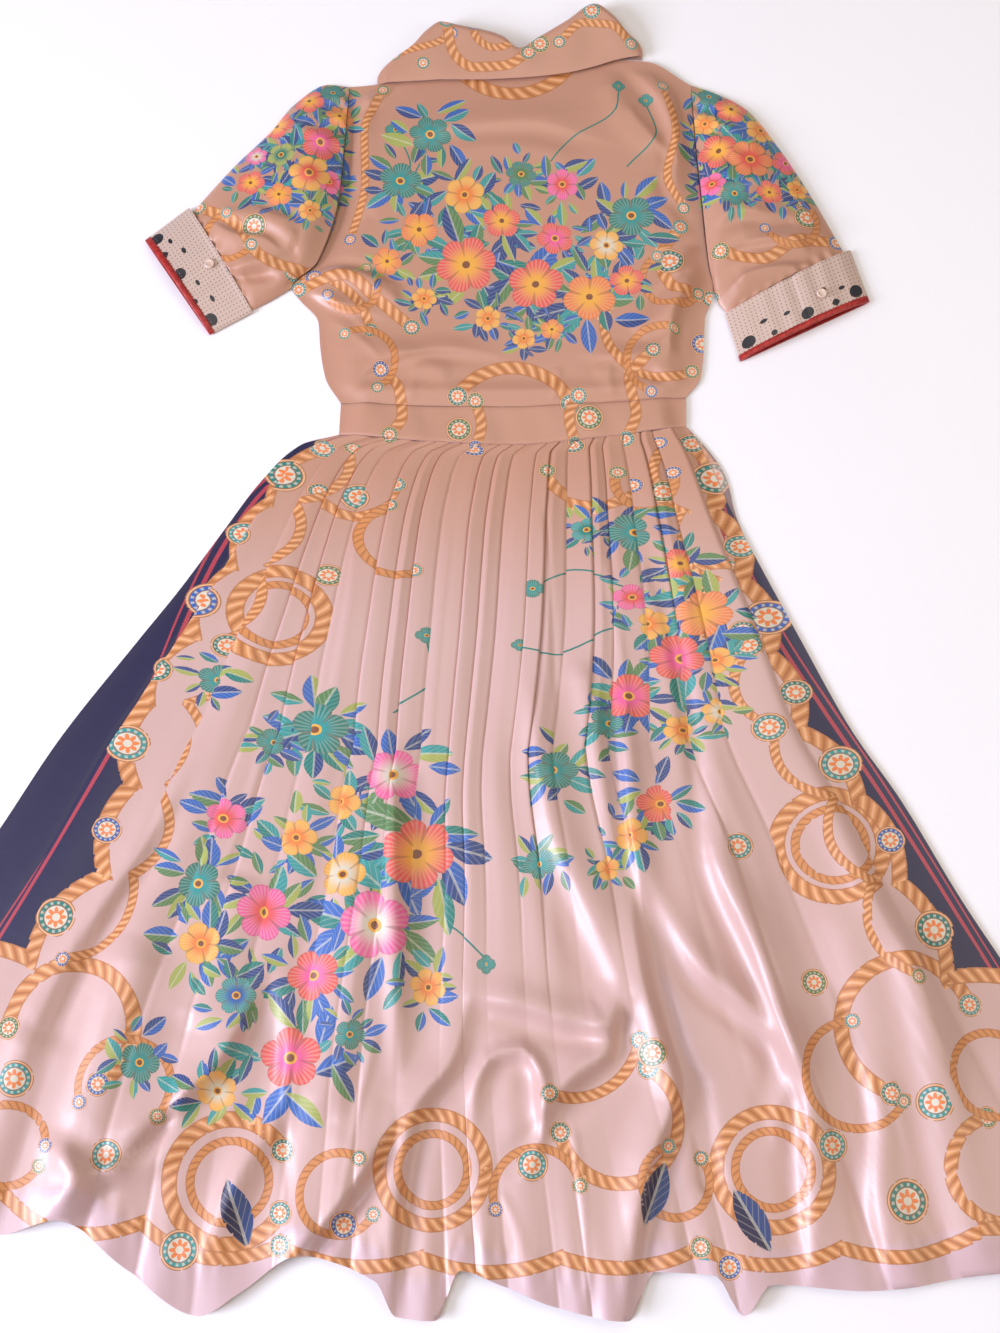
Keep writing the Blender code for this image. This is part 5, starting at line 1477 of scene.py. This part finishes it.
def stitch_row(name, path, thread, length=0.0024, gap=0.0012, radius=0.00022, sink=0.00005):
    """Stitches along a path of points that lies on a face."""
    path = np.array(path)
    steps = np.linalg.norm(np.diff(path, axis=0), axis=1)
    place = np.concatenate([[0.0], np.cumsum(steps)])
    bars = []
    start = 0.0
    while start + length < place[-1]:
        ends = []
        for value in (start, start + length):
            ends.append([np.interp(value, place, path[:, axis]) for axis in range(3)])
        ends[0][2] -= sink
        ends[1][2] -= sink
        bars.append(ends)
        start += length + gap
    points, faces = stitch_mesh(bars, radius)
    return new_piece(name, points, faces, thread)


def collar_path(low, fold, height, end, steps):
    """Middle line of the collar leaf at one place across: along its top, round its fold and back below."""
    half = COLLAR_SOLID / 2
    radius = 0.5 * height - half
    centre = fold - radius - half
    level = min(COLLAR_EDGE_LEVEL, height - 0.0001)
    path = []
    for share in np.linspace(0.0, 1.0, steps, endpoint=False):
        path.append((low + (centre - low) * share, level + (height - half - level) * share**0.8))
    for turn in np.linspace(90.0, -90.0, 15):
        angle = math.radians(turn)
        path.append((centre + radius * math.cos(angle), half + radius + radius * math.sin(angle)))
    last = min(end, centre - 0.0004)
    for share in np.linspace(0.0, 1.0, 5)[1:]:
        path.append((centre + (last - centre) * share, half))
    return np.array(path)


def build_collar(motifs, material):
    """The turned-down collar leaf, rolled round its fold, and the stand inside it."""
    x = np.linspace(COLLAR_LEAF[0][0], COLLAR_LEAF[-1][0], 150)
    low = smooth_at(COLLAR_LEAF, x, 1)
    fold = smooth_at(COLLAR_LEAF, x, 2)
    height = smooth_at(COLLAR_LEAF, x, 3)
    neck = smooth_at(BACK_TOP, x)
    end = np.maximum(np.minimum(neck + 0.0040, fold - 0.5 * height - 0.0010), neck + SEAM_GAP)
    outer = []
    inner = []
    plan = []
    for index, place in enumerate(x):
        path = collar_path(low[index], fold[index], height[index], end[index], 28)
        ripple = 0.0008 * np.sin(52.0 * place + 1.0) + 0.0005 * np.sin(131.0 * place)
        path[:, 1] += ripple * np.sin(math.pi * np.clip(np.arange(len(path)) / 28.0, 0.0, 1.0))
        tangent = np.gradient(path, axis=0)
        tangent /= np.linalg.norm(tangent, axis=1)[:, None]
        normal = np.column_stack([-tangent[:, 1], tangent[:, 0]])
        column_x = np.full((len(path), 1), place)
        half = COLLAR_SOLID / 2
        outer.append(np.hstack([column_x, path + normal * half]))
        inner.append(np.hstack([column_x, path + normal * (half - CLOTH * 1.5)]))
        length = np.concatenate([[0.0], np.cumsum(np.hypot(*np.diff(path, axis=0).T))])
        plan.append(np.column_stack([column_x[:, 0], low[index] + length]))
    outer = np.array(outer)
    leaf = cloth("collar_leaf", outer, np.array(inner), motifs, material, plan=np.array(plan))
    x = np.linspace(-0.105, 0.105, 60)
    low = smooth_at(BACK_TOP, x) + SEAM_GAP
    high = smooth_at(COLLAR_LEAF, x, 2) - 0.5 * smooth_at(COLLAR_LEAF, x, 3) - 0.0020
    share = np.linspace(0.0, 1.0, 12)[:, None]
    y = low + (high - low) * share
    stand = cloth("collar_stand", spread(x, y, 0.0045), spread(x, y, 0.0045 - CLOTH * 2), [], material)
    return leaf, stand, outer


def build_stitches(thread, collar_outer):
    """Rows of stitches at the hem, the collar's edge and the cuffs."""
    across = np.linspace(-0.985, 0.985, 900)
    down = np.full(across.shape, 0.966)
    x, y = skirt_plan(across, down)
    lift, edge = skirt_lift(across, down, x, y)
    path = np.column_stack([x, y, UPPER_SKIRT_TOP + lift - EDGE_DROP * (1 - edge)])
    stitch_row("hem_stitches", path, thread, 0.0016, 0.0050)
    stitch_row("collar_stitches", collar_outer[2:-2, 2], thread)
    share = np.linspace(0.04, 0.96, 60)
    for name, side in (("cuff_stitches_left", -1), ("cuff_stitches_right", 1)):
        grid, depths = cuff_grid(side, 0.0035, -BINDING_DEPTH - 0.0025, 2, share)
        extra = cuff_lap(side, share, 2)
        outer, inner = tube_shell(grid, share, np.full(2, CUFF_HEIGHT), CUFF_EDGE_HEIGHT, extra, CLOTH)
        top = outer[:, : len(share)]
        top[:, :, 2] -= cuff_sag(share)
        stitch_row(name + "_hem", top[1], thread)
        stitch_row(name + "_seam", top[0], thread)


def build_room():
    """Pale floor, soft lights and the camera."""
    world = bpy.context.scene.world or bpy.data.worlds.new("world")
    bpy.context.scene.world = world
    world.use_nodes = True
    background = world.node_tree.nodes["Background"]
    background.inputs["Color"].default_value = (1.0, 0.96, 0.94, 1.0)
    background.inputs["Strength"].default_value = 0.24
    mesh = bpy.data.meshes.new("floor")
    size = 6.0
    corners = [(-size, -size, 0.0), (size, -size, 0.0), (size, size, 0.0), (-size, size, 0.0)]
    mesh.from_pydata(corners, [], [(0, 1, 2, 3)])
    floor = bpy.data.objects.new("floor", mesh)
    floor.location = (0.0, 0.0, -0.0004)
    bpy.context.scene.collection.objects.link(floor)
    tints = ((0.95, 0.95, 0.95), (0.94, 0.94, 0.94))
    mesh.materials.append(mottled_material("floor_white", *tints, (3.0, 3.0, 3.0), 0.9, 0.00001))
    # Columns: name, x, y, z, aim x, aim y, size, power, red, green, blue
    lamps = (
        ("window", -3.60, -1.10, 1.75, 0.0, -0.25, 1.7, 220.0, 0.78, 0.80, 1.0),
        ("sky", -1.30, -0.90, 2.60, 0.0, -0.20, 0.9, 20.0, 0.78, 0.78, 1.0),
        ("ceiling", 0.60, 0.70, 3.00, 0.1, 0.10, 2.4, 26.0, 1.0, 0.87, 0.74),
        ("fill", 2.40, -0.60, 2.00, 0.1, 0.00, 1.6, 20.0, 1.0, 0.82, 0.64),
    )
    for name, x, y, z, aim_x, aim_y, size, power, red, green, blue in lamps:
        data = bpy.data.lights.new(name, "AREA")
        data.size = size
        data.energy = power
        data.color = (red, green, blue)
        lamp = bpy.data.objects.new(name, data)
        lamp.location = (x, y, z)
        aim = np.array([aim_x - x, aim_y - y, -z])
        flat = math.hypot(aim[0], aim[1])
        lamp.rotation_euler = (math.atan2(flat, z), 0.0, math.atan2(aim[1], aim[0]) - math.pi / 2)
        bpy.context.scene.collection.objects.link(lamp)
    camera_data = bpy.data.cameras.new("camera")
    camera_data.sensor_width = 36.0
    camera_data.lens = 45.64
    camera = bpy.data.objects.new("camera", camera_data)
    camera.location = (-0.0118 + PLAN_SHIFT[0], -0.6647 + PLAN_SHIFT[1], 1.536)
    camera.rotation_euler = (math.radians(16.0), 0.0, 0.0)
    bpy.context.scene.collection.objects.link(camera)
    bpy.context.scene.camera = camera
    bpy.context.scene.view_settings.view_transform = "Standard"


def declare_cuts(skirt, front_skirt, back, fronts):
    """Unpacks the skirt's two halves and lists the front skirt, the back bodice and the left front bodice,
    keeping nothing; no flat cut is set.
    """
    left, right = skirt
    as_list(front_skirt)
    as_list(front_skirt)
    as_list(fronts[0])
    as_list(back)
    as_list(fronts[0])


def build_all():
    """The whole dress and its room."""
    motifs = all_motifs()
    satin = satin_material("printed_satin")
    red = mottled_material("red_binding", RED, DARK_RED, (240.0, 240.0, 900.0), 0.42, 0.0004)
    pearl = mottled_material("pearl", PEARL, PEARL_SHADE, (420.0, 260.0, 300.0), 0.18, 0.0001, 0.6)
    thread = mottled_material("thread", THREAD, TAN, (900.0, 900.0, 900.0), 0.55, 0.0001)
    skirt, front_skirt = build_skirt(motifs, satin)
    bands = build_band(motifs, satin)
    back, fronts = build_bodice(motifs, satin)
    ends = (("left", -1), ("right", 1))
    sleeves = [build_sleeve("sleeve_" + end, side, motifs, satin) for end, side in ends]
    for end, side in ends:
        cuff, binding = build_cuff("cuff_" + end, "cuff_binding_" + end, side, satin, red)
    for end, side in ends:
        build_button("cuff_button_" + end, BUTTONS[side], pearl, thread)
    leaf, stand, collar_outer = build_collar(collar_motifs(), satin)
    build_stitches(thread, collar_outer)
    declare_cuts(skirt, front_skirt, back, fronts)
    build_room()


build_all()
